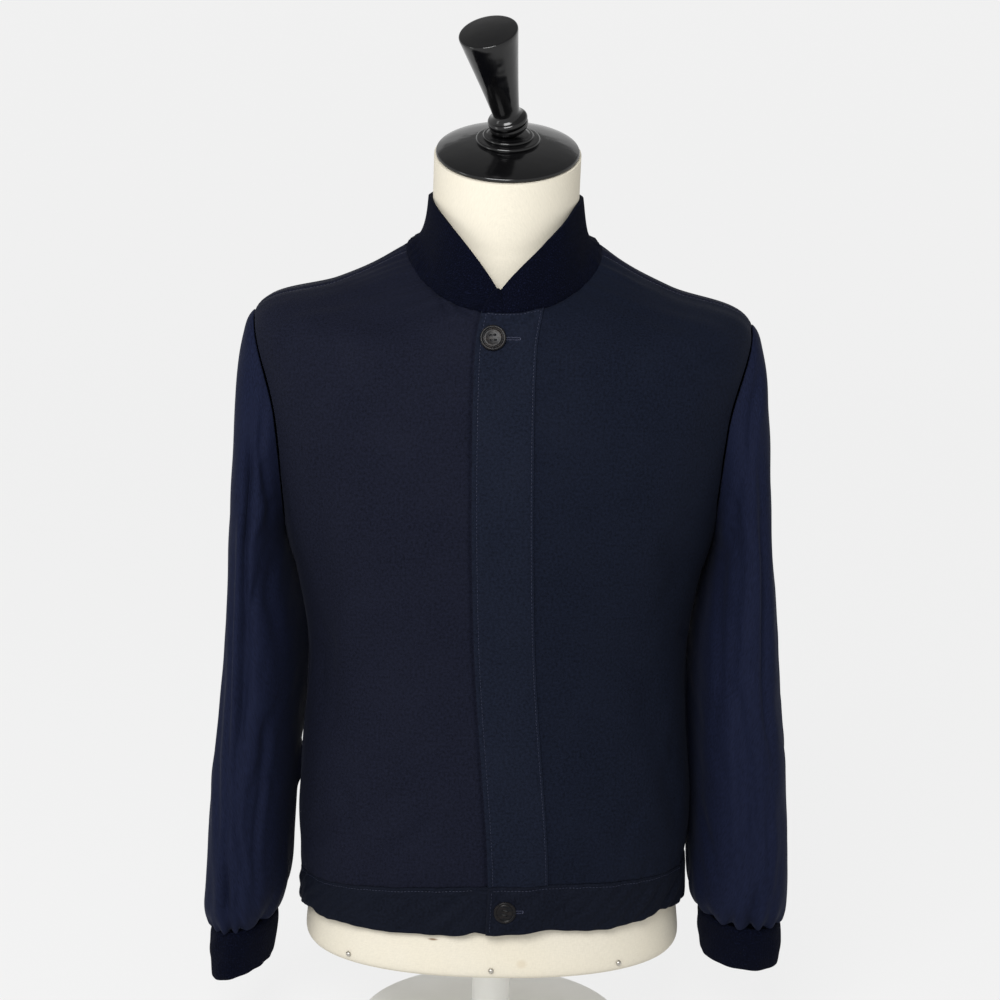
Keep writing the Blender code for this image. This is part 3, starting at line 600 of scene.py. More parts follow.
def hand_over(mesh, data, look, nodes, flip=None, sharp=None):
    """The mesh as a piece that rides on the body and stands for its CAD nodes."""
    if flip is None:
        flip = mesh.calc_volume(signed=True) < 0
    if flip:
        bmesh.ops.reverse_faces(mesh, faces=mesh.faces)
    mesh.to_mesh(data)
    mesh.free()
    data.shade_smooth()
    if sharp:
        data.set_sharp_from_angle(angle=math.radians(sharp))
    data.materials.append(look)
    piece = bpy.data.objects.new(data.name, data)
    bpy.context.scene.collection.objects.link(piece)
    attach(piece, "root")
    if nodes:
        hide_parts(*nodes)
    return piece


def cloth_piece(name, points, look, nodes, wall, closed_across=False, flip=False, cloth=None):
    """A panel of cloth with its real thickness behind its outer face."""
    mesh, data = shell(name, points, closed_across, cloth=cloth)
    piece = hand_over(mesh, data, look, nodes, flip)
    thickness = piece.modifiers.new("Wall", "SOLIDIFY")
    thickness.thickness = wall
    thickness.offset = -1.0
    return piece


def rounded(share):
    return np.sqrt(1 - (1 - np.clip(share, 0, 1)) ** 2)


def folded(points, normals, wall, relief=0.0, ends=False):
    """A doubled cloth with soft folded edges: its outer face, the fold at its last row and its inner face."""
    down = lengths(points, 0)
    fullness = rounded(np.minimum(down, down[-1] - down) / (wall / 2))
    if ends:
        across = lengths(points, 1)
        fullness = fullness * rounded(np.minimum(across, across[:, -1:] - across) / (wall / 2))
    half = normals * ((wall / 2 + relief) * fullness)[..., None]
    middle = points - normals * wall / 2
    return np.concatenate([middle + half, (middle - half)[-2:0:-1]], axis=0)


def doubled_piece(name, points, look, node, closed_across=False):
    """A folded panel or band, closed round its section."""
    mesh, data = shell(name, points, closed_across, closed_along=True)
    return hand_over(mesh, data, look, [node])


def edge_shares(count, edge):
    """Shares from 0 to 1, close together within edge of both ends."""
    fold = [edge * (1 - math.cos(math.radians(angle))) for angle in (0, 25, 45, 65)]
    plain = np.linspace(edge, 1 - edge, count)
    return np.concatenate([fold, plain, 1 - np.array(fold[::-1])])


def arc(radius, height, size, from_degrees, to_degrees, steps=6):
    """A rounding of a profile."""
    angles = np.radians(np.linspace(from_degrees, to_degrees, steps + 1))
    return [(radius + size * math.cos(angle), height + size * math.sin(angle)) for angle in angles]


def frame_at(point, axis):
    """A frame with its Z along axis."""
    return Matrix.Translation(Vector(point)) @ Vector(axis).to_track_quat("Z", "Y").to_matrix().to_4x4()


def spun(mesh, profile, steps):
    """Adds rows of radius and height to the mesh, spun round its Z, and gives the new vertices."""
    before = set(mesh.verts)
    verts = [mesh.verts.new((radius, 0.0, height)) for radius, height in profile]
    edges = [mesh.edges.new(pair) for pair in zip(verts, verts[1:])]
    round_z = {"axis": (0, 0, 1), "cent": (0, 0, 0), "angle": 2 * math.pi}
    bmesh.ops.spin(mesh, geom=verts + edges, steps=steps, use_merge=True, **round_z)
    made = [vert for vert in mesh.verts if vert not in before]
    bmesh.ops.remove_doubles(mesh, verts=made, dist=1e-7)
    return [vert for vert in mesh.verts if vert not in before]


def turned(mesh, profile, place, steps):
    """Adds a turned solid to the mesh, from a profile that starts and ends on its axis."""
    bmesh.ops.transform(mesh, matrix=place, verts=spun(mesh, profile, steps))
    bmesh.ops.recalc_face_normals(mesh, faces=mesh.faces)


def sew(stitches, points, normals, pitch, length, thread):
    """Adds a row of stitches along a line of points, as axes and centres."""
    along = lengths(points[None], 1)[0]
    count = max(1, round(along[-1] / pitch))
    middle = (np.arange(count) + 0.5) * along[-1] / count
    places = ((middle - 0.0002, points), (middle + 0.0002, points), (middle, normals))
    here, there, up = (
        np.stack([np.interp(at, along, table[:, k]) for k in range(3)], axis=-1) for at, table in places
    )
    run = unit(there - here)
    side = unit(np.cross(up, run))
    up = np.cross(run, side)
    axes = np.stack([side * thread / 2, up * thread / 2, run * length / 2], axis=-1)
    stitches.append((axes, (here + there) / 2 + up * thread * 0.15))


def threads(stitches):
    """All stitches in one mesh: one rounded thread, doubled until there are enough, each put at its place."""
    axes = np.concatenate([row[0] for row in stitches])
    centres = np.concatenate([row[1] for row in stitches])
    mesh = bmesh.new()
    bmesh.ops.create_uvsphere(mesh, u_segments=6, v_segments=4, radius=1.0)
    copies = bpy.data.meshes.new("thread")
    mesh.to_mesh(copies)
    mesh.free()
    # Read back into an empty mesh, so that the copies follow in order.
    mesh = bmesh.new()
    mesh.from_mesh(copies)
    ball = np.array([vert.co[:] for vert in mesh.verts])
    wanted = len(ball) * len(centres)
    while len(mesh.verts) < wanted:
        mesh.to_mesh(copies)
        mesh.from_mesh(copies)
    bmesh.ops.delete(mesh, geom=mesh.verts[:][wanted:], context="VERTS")
    bpy.data.meshes.remove(copies)
    points = np.einsum("nij,vj->nvi", axes, ball) + centres[:, None]
    for vert, point in zip(mesh.verts, points.reshape(-1, 3)):
        vert.co = point
    return mesh


# ---- Finishes ----


def settle(tree, target, values):
    """Gives a node's inputs, by name or number, their values or the sockets they are linked to."""
    for name, value in values.items():
        if isinstance(value, bpy.types.NodeSocket):
            tree.links.new(value, target.inputs[name])
        else:
            target.inputs[name].default_value = value


def add(tree, kind, inputs=None, output=0, **settings):
    """Adds a shader node with its inputs and settings, and gives one of its outputs."""
    made = tree.nodes.new("ShaderNode" + kind)
    for name, value in settings.items():
        setattr(made, name, value)
    settle(tree, made, inputs or {})
    return made.outputs[output]


def shade(colour, factor=1.0):
    return (*(min(1.0, channel * factor) for channel in colour), 1.0)


def finish(paint):
    """Makes a function that adds nodes, and says what its shader gets, into one that gives a material."""

    def material(name, colour):
        made = bpy.data.materials.get(name)
        if not made:
            made = bpy.data.materials.new(name)
            made.use_nodes = True
            tree = made.node_tree
            settle(tree, tree.nodes["Principled BSDF"], paint(partial(add, tree), colour))
        return made

    return material


# Inputs by number: a Mix takes its share as 0 and two colours as 6 and 7. A MapRange takes its value as 0,
# the range it comes in as 1 and 2, and the range it goes out in, where that isn't 0 to 1, as 3 and 4.
COLOURS = {"output": 2, "data_type": "RGBA"}


@finish
def cotton_twill(node, colour):
    """Washed cotton twill: dark threads with lighter flecks of nap, and a soft sheen where it turns away."""
    cloth = node("UVMap", uv_map="cloth")
    # Real twill lines are 0.5 mm apart, too fine to show: drawn as noise drawn out along their diagonal.
    diagonal = {"Vector": cloth, "Rotation": (0.0, 0.0, math.radians(-45)), "Scale": (1.0, 0.3, 1.0)}
    drawn = node("Mapping", diagonal)
    twill = node("TexNoise", {"Vector": drawn, "Scale": 620.0, "Detail": 2.0, "Roughness": 0.6})
    fleck = node("TexNoise", {"Vector": cloth, "Scale": 420.0, "Detail": 3.0, "Roughness": 0.7})
    worn = node("TexNoise", {"Vector": cloth, "Scale": 14.0, "Detail": 5.0, "Roughness": 0.62})
    flecks = node("MapRange", {0: fleck, 1: 0.36, 2: 0.64})
    nap = node("Mix", {0: flecks, 6: shade(colour, 0.60), 7: shade(colour, 1.50)}, **COLOURS)
    lines = node("MapRange", {0: twill, 1: 0.38, 2: 0.66, 4: 0.45})
    lined = node("Mix", {0: lines, 6: nap, 7: shade(colour, 1.45)}, **COLOURS)
    patches = node("MapRange", {0: worn, 1: 0.35, 2: 0.70, 4: 0.25})
    faded = node("Mix", {0: patches, 6: lined, 7: shade(colour, 1.60)}, **COLOURS)
    rough = node("MapRange", {0: worn, 1: 0.3, 2: 0.7, 3: 0.86, 4: 0.72})
    raised_threads = node("Math", {0: twill, 1: fleck}, operation="ADD")
    return {
        "Base Color": faded,
        "Roughness": rough,
        "Normal": node("Bump", {"Height": raised_threads, "Distance": 0.00022, "Strength": 0.8}),
        "Specular IOR Level": 0.05,
        "Sheen Weight": 0.015,
        "Sheen Roughness": 0.42,
        "Sheen Tint": (0.62, 0.70, 1.0, 1.0),
    }


@finish
def rib_knit(node, colour):
    """Rib knit of wool and cotton: matt, almost black, with fine loops along its ribs and pale fibres."""
    cloth = node("UVMap", uv_map="cloth")
    # Real loops are 0.9 mm high; drawn at 1.3 mm.
    loop = 0.0013
    scales = {"Scale": 2 * math.pi / (20 * loop), "Distortion": 3.0, "Detail": 2.0, "Detail Scale": 2.0}
    loops = node("TexWave", {"Vector": cloth, **scales}, "Fac", bands_direction="Y")
    fibre = node("TexNoise", {"Vector": cloth, "Scale": 620.0, "Detail": 3.0, "Roughness": 0.75})
    rows = node("MapRange", {0: loops, 1: 0.1, 2: 0.9})
    yarn = node("Mix", {0: rows, 6: shade(colour, 0.55), 7: shade(colour, 1.25)}, **COLOURS)
    specks = node("MapRange", {0: fibre, 1: 0.54, 2: 0.70, 4: 0.85})
    specked = node("Mix", {0: specks, 6: yarn, 7: shade(colour, 4.2)}, **COLOURS)
    rough = node("MapRange", {0: fibre, 1: 0.3, 2: 0.7, 3: 0.95, 4: 0.82})
    raised_yarn = node("Math", {0: loops, 1: fibre}, operation="ADD")
    return {
        "Base Color": specked,
        "Roughness": rough,
        "Normal": node("Bump", {"Height": raised_yarn, "Distance": 0.0003}),
        "Specular IOR Level": 0.03,
        "Sheen Weight": 0.01,
        "Sheen Roughness": 0.5,
        "Sheen Tint": (0.7, 0.76, 1.0, 1.0),
    }


@finish
def twisted_thread(node, colour):
    """Polyester topstitching thread, slightly lighter than the cloth, with a soft gloss."""
    place = node("TexCoord", output="Object")
    ply = node("TexNoise", {"Vector": place, "Scale": 1500.0, "Detail": 1.0})
    plies = node("MapRange", {0: ply, 1: 0.3, 2: 0.7})
    return {
        "Base Color": node("Mix", {0: plies, 6: shade(colour, 0.7), 7: shade(colour, 1.35)}, **COLOURS),
        "Roughness": node("MapRange", {0: ply, 1: 0.3, 2: 0.7, 3: 0.45, 4: 0.6}),
        "Normal": node("Bump", {"Height": ply, "Distance": 0.0001}),
    }


@finish
def dark_horn(node, colour):
    """Polished horn: near black with faint brown clouds, glossy, worn dull in fine scratches."""
    place = node("TexCoord", output="Object")
    drawn = node("Mapping", {"Vector": place, "Scale": (60.0, 60.0, 190.0)})
    cloud = node("TexNoise", {"Vector": drawn, "Scale": 2.0, "Detail": 4.0, "Distortion": 0.8})
    wear = node("TexNoise", {"Vector": place, "Scale": 600.0, "Detail": 3.0})
    clouds = node("MapRange", {0: cloud, 1: 0.42, 2: 0.72})
    return {
        "Base Color": node("Mix", {0: clouds, 6: shade(colour), 7: shade(linear("1E1A18"))}, **COLOURS),
        "Roughness": node("MapRange", {0: wear, 1: 0.3, 2: 0.75, 3: 0.22, 4: 0.36}),
        "Normal": node("Bump", {"Height": wear, "Distance": 0.00002}),
        "IOR": 1.54,
        "Specular IOR Level": 0.11,
    }


LINEN_MARKS = (  # middle, size, strength and colour of a rust mark and a smudge
    ((-0.052, -0.124, 0.134), (0.0055, 0.02, 0.0014), 0.85, "6B4A2A"),
    ((0.027, -0.124, 0.114), (0.0060, 0.02, 0.0050), 0.22, "A88F68"),
)


@finish
def canvas_linen(node, colour):
    """Unbleached linen stretched on a form: fine plain weave, faint thick threads, yellowed and marked."""
    cloth = node("UVMap", uv_map="cloth")
    place = node("TexCoord", output="Object")
    # Real threads are 0.5 mm apart, too fine to show: drawn as fine noise along both ways of the cloth.
    crossing = []
    for size in ((1.0, 0.25, 1.0), (0.25, 1.0, 1.0)):
        drawn = node("Mapping", {"Vector": cloth, "Scale": size})
        crossing.append(node("TexNoise", {"Vector": drawn, "Scale": 900.0, "Detail": 2.0}))
    weave = node("Math", {0: crossing[0], 1: crossing[1]}, operation="ADD")
    thick = node("Mapping", {"Vector": cloth, "Scale": (0.1, 1.0, 1.0)})
    slub = node("TexNoise", {"Vector": thick, "Scale": 300.0, "Detail": 2.0})
    aged = node("TexNoise", {"Vector": place, "Scale": 11.0, "Detail": 4.0})
    raised_threads = node("MapRange", {0: weave, 1: 0.7, 2: 1.3})
    woven = node("Mix", {0: raised_threads, 6: shade(colour, 0.95), 7: shade(colour, 1.04)}, **COLOURS)
    slubs = node("MapRange", {0: slub, 1: 0.58, 2: 0.80, 4: 0.16})
    uneven = node("Mix", {0: slubs, 6: woven, 7: shade(colour, 0.86)}, **COLOURS)
    yellowed = node("MapRange", {0: aged, 1: 0.4, 2: 0.75, 4: 0.16})
    toned = node("Mix", {0: yellowed, 6: uneven, 7: shade(linear("C9BC9C"))}, **COLOURS)
    for middle, size, strength, code in LINEN_MARKS:
        centred = node("Mapping", {"Vector": place, "Location": middle, "Scale": size}, vector_type="TEXTURE")
        spot = node("TexGradient", {"Vector": centred}, "Fac", gradient_type="SPHERICAL")
        stained = node("MapRange", {0: spot, 1: 0.0, 2: 0.6, 4: strength})
        toned = node("Mix", {0: stained, 6: toned, 7: shade(linear(code))}, **COLOURS)
    return {
        "Base Color": toned,
        "Roughness": node("MapRange", {0: slub, 1: 0.3, 2: 0.7, 3: 0.92, 4: 0.84}),
        "Normal": node("Bump", {"Height": weave, "Distance": 0.00012, "Strength": 0.6}),
        "Specular IOR Level": 0.15,
        "Sheen Weight": 0.04,
        "Sheen Roughness": 0.5,
    }


@finish
def black_lacquer(node, colour):
    """Turned wood in several coats of black lacquer: deep gloss with a slight ripple and fine dust."""
    place = node("TexCoord", output="Object")
    swell = node("TexNoise", {"Vector": place, "Scale": 45.0, "Detail": 2.0})
    dust = node("TexNoise", {"Vector": place, "Scale": 900.0, "Detail": 3.0, "Roughness": 0.7})
    specks = node("MapRange", {0: dust, 1: 0.62, 2: 0.80, 4: 0.35})
    return {
        "Base Color": node("Mix", {0: specks, 6: shade(colour), 7: shade(linear("3A3A3C"))}, **COLOURS),
        "Roughness": node("MapRange", {0: swell, 1: 0.3, 2: 0.7, 3: 0.10, 4: 0.17}),
        "Normal": node("Bump", {"Height": swell, "Distance": 0.0004}),
        "IOR": 1.46,
    }


@finish
def nickel_steel(node, colour):
    """Pressed steel with dull nickel plating: soft highlights and fine scratches."""
    place = node("TexCoord", output="Object")
    wear = node("TexNoise", {"Vector": place, "Scale": 800.0, "Detail": 3.0})
    scratches = node("MapRange", {0: wear, 1: 0.3, 2: 0.7})
    return {
        "Base Color": node("Mix", {0: scratches, 6: shade(colour, 0.75), 7: shade(colour, 1.1)}, **COLOURS),
        "Roughness": node("MapRange", {0: wear, 1: 0.3, 2: 0.7, 3: 0.28, 4: 0.48}),
        "Normal": node("Bump", {"Height": wear, "Distance": 0.00004}),
        "Metallic": 1.0,
    }


@finish
def powder_coat(node, colour):
    """White powder coat on steel: satin, with the fine orange peel of baked powder."""
    place = node("TexCoord", output="Object")
    peel = node("TexNoise", {"Vector": place, "Scale": 500.0, "Detail": 1.0})
    handled = node("TexNoise", {"Vector": place, "Scale": 18.0, "Detail": 3.0})
    greyed = node("MapRange", {0: handled, 1: 0.35, 2: 0.75})
    return {
        "Base Color": node("Mix", {0: greyed, 6: shade(colour), 7: shade(colour, 0.93)}, **COLOURS),
        "Roughness": node("MapRange", {0: handled, 1: 0.3, 2: 0.7, 3: 0.36, 4: 0.46}),
        "Normal": node("Bump", {"Height": peel, "Distance": 0.0001}),
    }


@finish
def studio_paper(node, colour):
    """Matt white paper, lit so evenly that it keeps one tone."""
    place = node("TexCoord", output="Object")
    grain = node("TexNoise", {"Vector": place, "Scale": 30.0, "Detail": 4.0})
    return {
        "Base Color": node("Mix", {0: grain, 6: shade(colour, 0.985), 7: shade(colour)}, **COLOURS),
        "Roughness": 0.95,
        "Specular IOR Level": 0.0,
        "Emission Color": (1.0, 1.0, 1.0, 1.0),
        "Emission Strength": bpy.context.scene.jacket_studio.glow,
    }


# ---- The jacket's body ----


def seam_turn(level):
    """The turn of the side seam, the armhole's middle and the shoulder seam."""
    rise = np.clip((level - ARMPIT_LEVEL) / (SHOULDER_TIP_LEVEL - ARMPIT_LEVEL), 0.0, 1.0)
    return 90 - SHOULDER_SEAM_FORWARD * rise


def armhole_half(level, reach):
    """Degrees from the armhole's middle to its edge at a level."""
    place = (2 * level - ARMPIT_LEVEL - SHOULDER_TIP_LEVEL) / (SHOULDER_TIP_LEVEL - ARMPIT_LEVEL)
    return reach * np.sqrt(np.clip(1 - place**2, 0.0, 1.0))


def panel_levels(below, beside, above):
    """The rows of a body panel, closer together at both ends of the armhole."""
    middle = (ARMPIT_LEVEL + SHOULDER_TIP_LEVEL) / 2
    half = (SHOULDER_TIP_LEVEL - ARMPIT_LEVEL) / 2
    low = np.linspace(0, ARMPIT_LEVEL, below + 1)[:-1]
    armhole = middle - half * np.cos(np.linspace(0, math.pi, beside + 1))[:-1]
    top = np.linspace(SHOULDER_TIP_LEVEL, len(RINGS) - 1, above + 1)
    return np.concatenate([low, armhole, top])[:, None]


def body_cloth(turn, level, lift=0.0):
    """The body's cloth with its folds, at a height over its outer face, and the surface's normals."""
    sizes = bpy.context.scene.jacket_sizes
    base = body_points(turn, level)
    normal = body_normals(turn, level)
    turn, level = np.broadcast_arrays(turn, level)
    turn = (turn + 90) % 360 - 90
    place = np.where(np.abs(turn) > 90, turn % 360, turn)
    fold = troughs(BODY_FOLDS, place, base[..., 2], BODY_GIRTH) + pressed(base, normal, BODY_CREASES)
    seam = ring_points(RINGS[0], turn)
    height = base[..., 2] - seam[..., 2]
    uneven = ripple("body", place * BODY_GIRTH, base[..., 2])
    uneven = uneven + near(height, 0.026) * ripple("waistband's seam", place * BODY_GIRTH, height * 0.4)
    collar_seam = ring_points(RINGS[-1], turn)[..., 2] - base[..., 2]
    uneven = uneven + near(collar_seam, 0.014) * ripple("collar's seam", turn * NECK_GIRTH, 0.0)
    beside_neck = ease(np.abs((turn + 180) % 360 - 180), 50, 80)
    uneven = uneven + SHOULDER_RISE * near(collar_seam, 0.012) * beside_neck
    inward = np.maximum(uneven - fold * sizes.fold_strength, -BODY_ROOM)
    return base + normal * (inward + lift)[..., None], normal


def sewn_edges(points, dip, left=True, right=True, bottom=True, top=True, reach=0.0022):
    """How far a panel is drawn in along its seams."""
    across = lengths(points, 1)
    along = lengths(points, 0)
    total = np.zeros(across.shape)
    for used, distance in (
        (left, across),
        (right, across[:, -1:] - across),
        (bottom, along),
        (top, along[-1:] - along),
    ):
        if used:
            total = np.maximum(total, near(distance, reach))
    return total * dip


def panel_map(turn, level, middle):
    """Where places of a body panel lie on its flat cloth, in metres from its middle line and lower edge."""
    turns = np.arange(-90.0, 271.0)
    rows = np.linspace(0, len(RINGS) - 1, 161)
    grid = body_points(turns[None], rows[:, None])
    across = lengths(grid, 1)
    across = across - across[:, [middle + 90]]
    tangent = unit(np.gradient(grid, axis=1))
    rises = np.diff(grid, axis=0)
    rises = rises - (rises * tangent[:-1]).sum(axis=-1, keepdims=True) * tangent[:-1]
    along = np.concatenate([across[:1] * 0, np.cumsum(np.linalg.norm(rises, axis=-1), axis=0)])
    table = np.stack([across, along], axis=-1)
    row = np.clip(level * 20, 0, 159.999)
    column = np.clip(turn + 90, 0, 359.999)
    first, low = column.astype(int), row.astype(int)
    right, up = (column - first)[..., None], (row - low)[..., None]
    lower = table[low, first] * (1 - right) + table[low, first + 1] * right
    upper = table[low + 1, first] * (1 - right) + table[low + 1, first + 1] * right
    return lower * (1 - up) + upper * up


def lower_seam(points):
    """The shallow dip of a panel along the waistband's seam."""
    return 0.0006 * near(lengths(points, 0), 0.0012)


def side_gap(level):
    """Half a seam's gap, in degrees of turn."""
    return np.degrees(0.00018 / between(RINGS, level).front)


def lap_lift(from_edge, whole):
    """How far the left front is lifted by the right one under it."""
    return whole * (1 - ease(from_edge, UNDERLAP, LAP_EASES))


def make_front(side, look):
    """A front, from its side seam to its edge under the covered fly."""
    sizes = bpy.context.scene.jacket_sizes
    level = panel_levels(*FRONT_ROWS)
    ring = between(RINGS, level)
    outer = side * (seam_turn(level) - armhole_half(level, ARMHOLE_FRONT) - side_gap(level))
    if side > 0:
        marks = (0.0, UNDERLAP, PLACKET_WIDTH, 0.066)
        stops = [turn_at_x(ring, ring.lap_x + mark) for mark in marks] + [outer]
        counts = (8, 5, 9, 84)
    else:
        marks = (-0.006, 0.004, UNDERLAP)
        stops = [outer] + [turn_at_x(ring, ring.lap_x + mark) for mark in marks]
        counts = (94, 12, 8)
    turn = spread([stop[:, 0] for stop in stops], counts)
    from_edge = ring.half_width * np.sin(np.radians(turn)) - ring.lap_x
    lift = lap_lift(from_edge, sizes.layer) if side > 0 else np.zeros(turn.shape)
    points, normals = body_cloth(turn, level, lift)
    dips = sewn_edges(points, sizes.seam_dip, left=side < 0, right=side > 0, bottom=False)
    dips = dips + lower_seam(points)
    if side > 0:
        dips = dips + 0.0006 * near(from_edge - PLACKET_WIDTH - 0.0008, 0.0012)  # along the fly's inner edge
    else:
        dips = dips + 0.0013 * near(from_edge + 0.0006, 0.0022)  # under the lap's edge
    points = points - normals * dips[..., None]
    node = "front_left" if side > 0 else "front_right"
    cloth = panel_map(turn, np.broadcast_to(level, turn.shape), 0)
    return cloth_piece("jacket_" + node, points, look, [node], sizes.cloth_wall, cloth=cloth)


def placket_lift(from_edge):
    """The covered fly over the left front: pressed down at its second line of stitches."""
    sizes = bpy.context.scene.jacket_sizes
    whole = lap_lift(from_edge, sizes.layer) + sizes.layer
    stitched = near(from_edge - EDGE_LINE, 0.0011) + near(from_edge - SECOND_LINE, 0.0012)
    between_lines = np.clip((from_edge - EDGE_LINE) / (SECOND_LINE - EDGE_LINE), 0, 1)
    belly = 0.0005 * np.sin(math.pi * between_lines)
    return whole + belly - 0.00045 * stitched


def placket_lines(from_edge, level):
    """Points and normals on the fly's outer face, at distances from its edge."""
    ring = between(RINGS, level)
    turn = turn_at_x(ring, ring.lap_x + from_edge)
    return body_cloth(turn, level, placket_lift(from_edge))


def make_placket(look):
    wall = 0.0010
    shares = edge_shares(30, wall / 2 / PLACKET_WIDTH)
    stitched = np.array([0.0033, 0.0038, 0.0046, 0.0052, 0.0490, 0.0496, 0.0504]) / PLACKET_WIDTH
    from_edge = np.sort(np.concatenate([shares, stitched]))[:, None] * PLACKET_WIDTH
    level = panel_levels(*FRONT_ROWS).T
    points, normals = placket_lines(from_edge, level)
    points = folded(points, normals, wall, ends=True)
    return doubled_piece("jacket_placket", points, look, "placket_left")


def make_back(look):
    sizes = bpy.context.scene.jacket_sizes
    level = panel_levels(*BACK_ROWS)
    edge = (seam_turn(level) + armhole_half(level, ARMHOLE_BACK) + side_gap(level))[:, 0]
    turn = spread([edge, 360 - edge], (170,))
    points, normals = body_cloth(turn, level)
    dips = sewn_edges(points, sizes.seam_dip, bottom=False) + lower_seam(points)
    points = points - normals * dips[..., None]
    cloth = panel_map(turn, np.broadcast_to(level, turn.shape), 180)
    return cloth_piece("jacket_back", points, look, ["back"], sizes.cloth_wall, cloth=cloth)


# ---- Bands that lap at the front ----


def mixed(low, high, part):
    return type(low)(*(a + (b - a) * part for a, b in zip(low, high)))


def raised(ring, height):
    return ring._replace(
        front_z=ring.front_z + height, side_z=ring.side_z + height, back_z=ring.back_z + height
    )


def band_surface(low, high, turn, part):
    return ring_points(low, turn) * (1 - part)[..., None] + ring_points(high, turn) * part[..., None]


def even_shares(points, count, closed=False):
    """Places along a line at even distances, as shares of its points."""
    if closed:
        points = np.concatenate([points, points[:1]])
    along = lengths(points[None], 1)[0]
    return np.interp(np.linspace(0, along[-1], count), along, np.linspace(0, 1, len(points))), along[-1]


def band_grid(low, high, part, underlap, columns, wall):
    """Points, normals and distances from the left end, on a band whose left end lies over its right one."""
    part = part[:, None]
    ring = mixed(low, high, part)
    start = turn_at_x(ring, ring.lap_x)
    end = 360 + turn_at_x(ring, ring.lap_x - 0.014 + underlap)
    middle = len(part) // 2
    fine = (start + (end - start) * np.linspace(0, 1, MEASURED_STEPS))[middle]
    line = band_surface(low, high, fine, np.full(MEASURED_STEPS, part[middle, 0]))
    shares, length = even_shares(line, columns + 1)
    turn = start + (end - start) * shares
    part = np.broadcast_to(part, turn.shape)
    points = band_surface(low, high, turn, part)
    along = band_surface(low, high, turn + 1, part) - band_surface(low, high, turn - 1, part)
    up = band_surface(low, high, turn, part + 0.05) - band_surface(low, high, turn, part - 0.05)
    normals = unit(np.cross(along, up))
    distance = np.broadcast_to(np.linspace(0, length, columns + 1), turn.shape)
    over = (wall + 0.0004) * (1 - ease(distance, 0.036, 0.060))
    return points + normals * over[..., None], normals, turn, distance


HEM_WAVES = (  # place across, height and reach
    (-0.166, 0.0060, 0.008),
    (-0.138, 0.0034, 0.024),
    (-0.040, -0.0016, 0.018),
    (-0.016, 0.0022, 0.006),
    (0.046, 0.0026, 0.016),
    (0.100, -0.0024, 0.024),
    (0.152, 0.0034, 0.006),
)


def hem_wave(x):
    """How far the front of the hem hangs below or above its ring, at places across."""
    return sum(height * near(x - middle, reach) for middle, height, reach in HEM_WAVES)


def waistband_face(part, columns):
    """The waistband's outer face: it follows the body's cloth at its seam, and hangs in soft waves below."""
    sizes = bpy.context.scene.jacket_sizes
    points, normals, turn, distance = band_grid(
        HEM, RINGS[0], part, WAISTBAND_UNDERLAP, columns, sizes.band_wall
    )
    from_top = BAND_HEIGHT * (1 - part)[:, None]
    above = np.zeros(turn.shape)
    followed = body_cloth(turn, above)[0] - body_points(turn, above)
    points = points + followed * near(from_top, 0.016)[..., None]
    place = turn % 360
    place = np.where(place > 270, place - 360, place)
    round_it = place * BODY_GIRTH
    drawn = 1 - near(from_top, 0.006)
    diagonal = drawn * ripple("waistband", round_it + from_top, 0.5 * from_top)  # twisted, as bands wear
    belly = 0.0010 * np.sin(math.pi * np.clip(from_top / BAND_HEIGHT, 0, 1))
    stitched = 0.0005 * near(from_top - BAND_LINE, 0.0010) + 0.0006 * near(from_top, 0.0012)
    lap_edge = 0.0005 * near(distance - EDGE_LINE, 0.0011)
    hang = BAND_HEIGHT - from_top
    sway = near(hang, 0.022) * ripple("hem", round_it, 0.0)
    points = points + normals * (diagonal + belly - stitched - lap_edge + sway)[..., None]
    facing = ease(-normals[..., 1], 0.0, 0.5)
    behind = ripple("hem behind", round_it, 0.0)
    points[..., 2] += near(hang, 0.030) * (hem_wave(points[..., 0]) * facing + behind * (1 - facing))
    return points, normals


def make_waistband(look):
    sizes = bpy.context.scene.jacket_sizes
    wall = sizes.band_wall
    part = edge_shares(17, wall / 2 / BAND_HEIGHT)
    stitched = 1 - np.array([0.0026, 0.0033, 0.0042]) / BAND_HEIGHT
    part = np.sort(np.concatenate([part, stitched]))
    points, normals = waistband_face(part, WAISTBAND_COLUMNS)
    points = folded(points, normals, wall, ends=True)
    return doubled_piece("jacket_waistband", points, look, "waistband")


RIB_STEPS = 5  # columns to a rib


def rib_relief(columns, height, share=0.5):
    """Ribs along the rows: rounded wales with narrow furrows between them."""
    wave = 0.5 + 0.5 * np.cos(2 * math.pi * np.arange(columns) / RIB_STEPS)
    return height * (wave**share - 0.6)


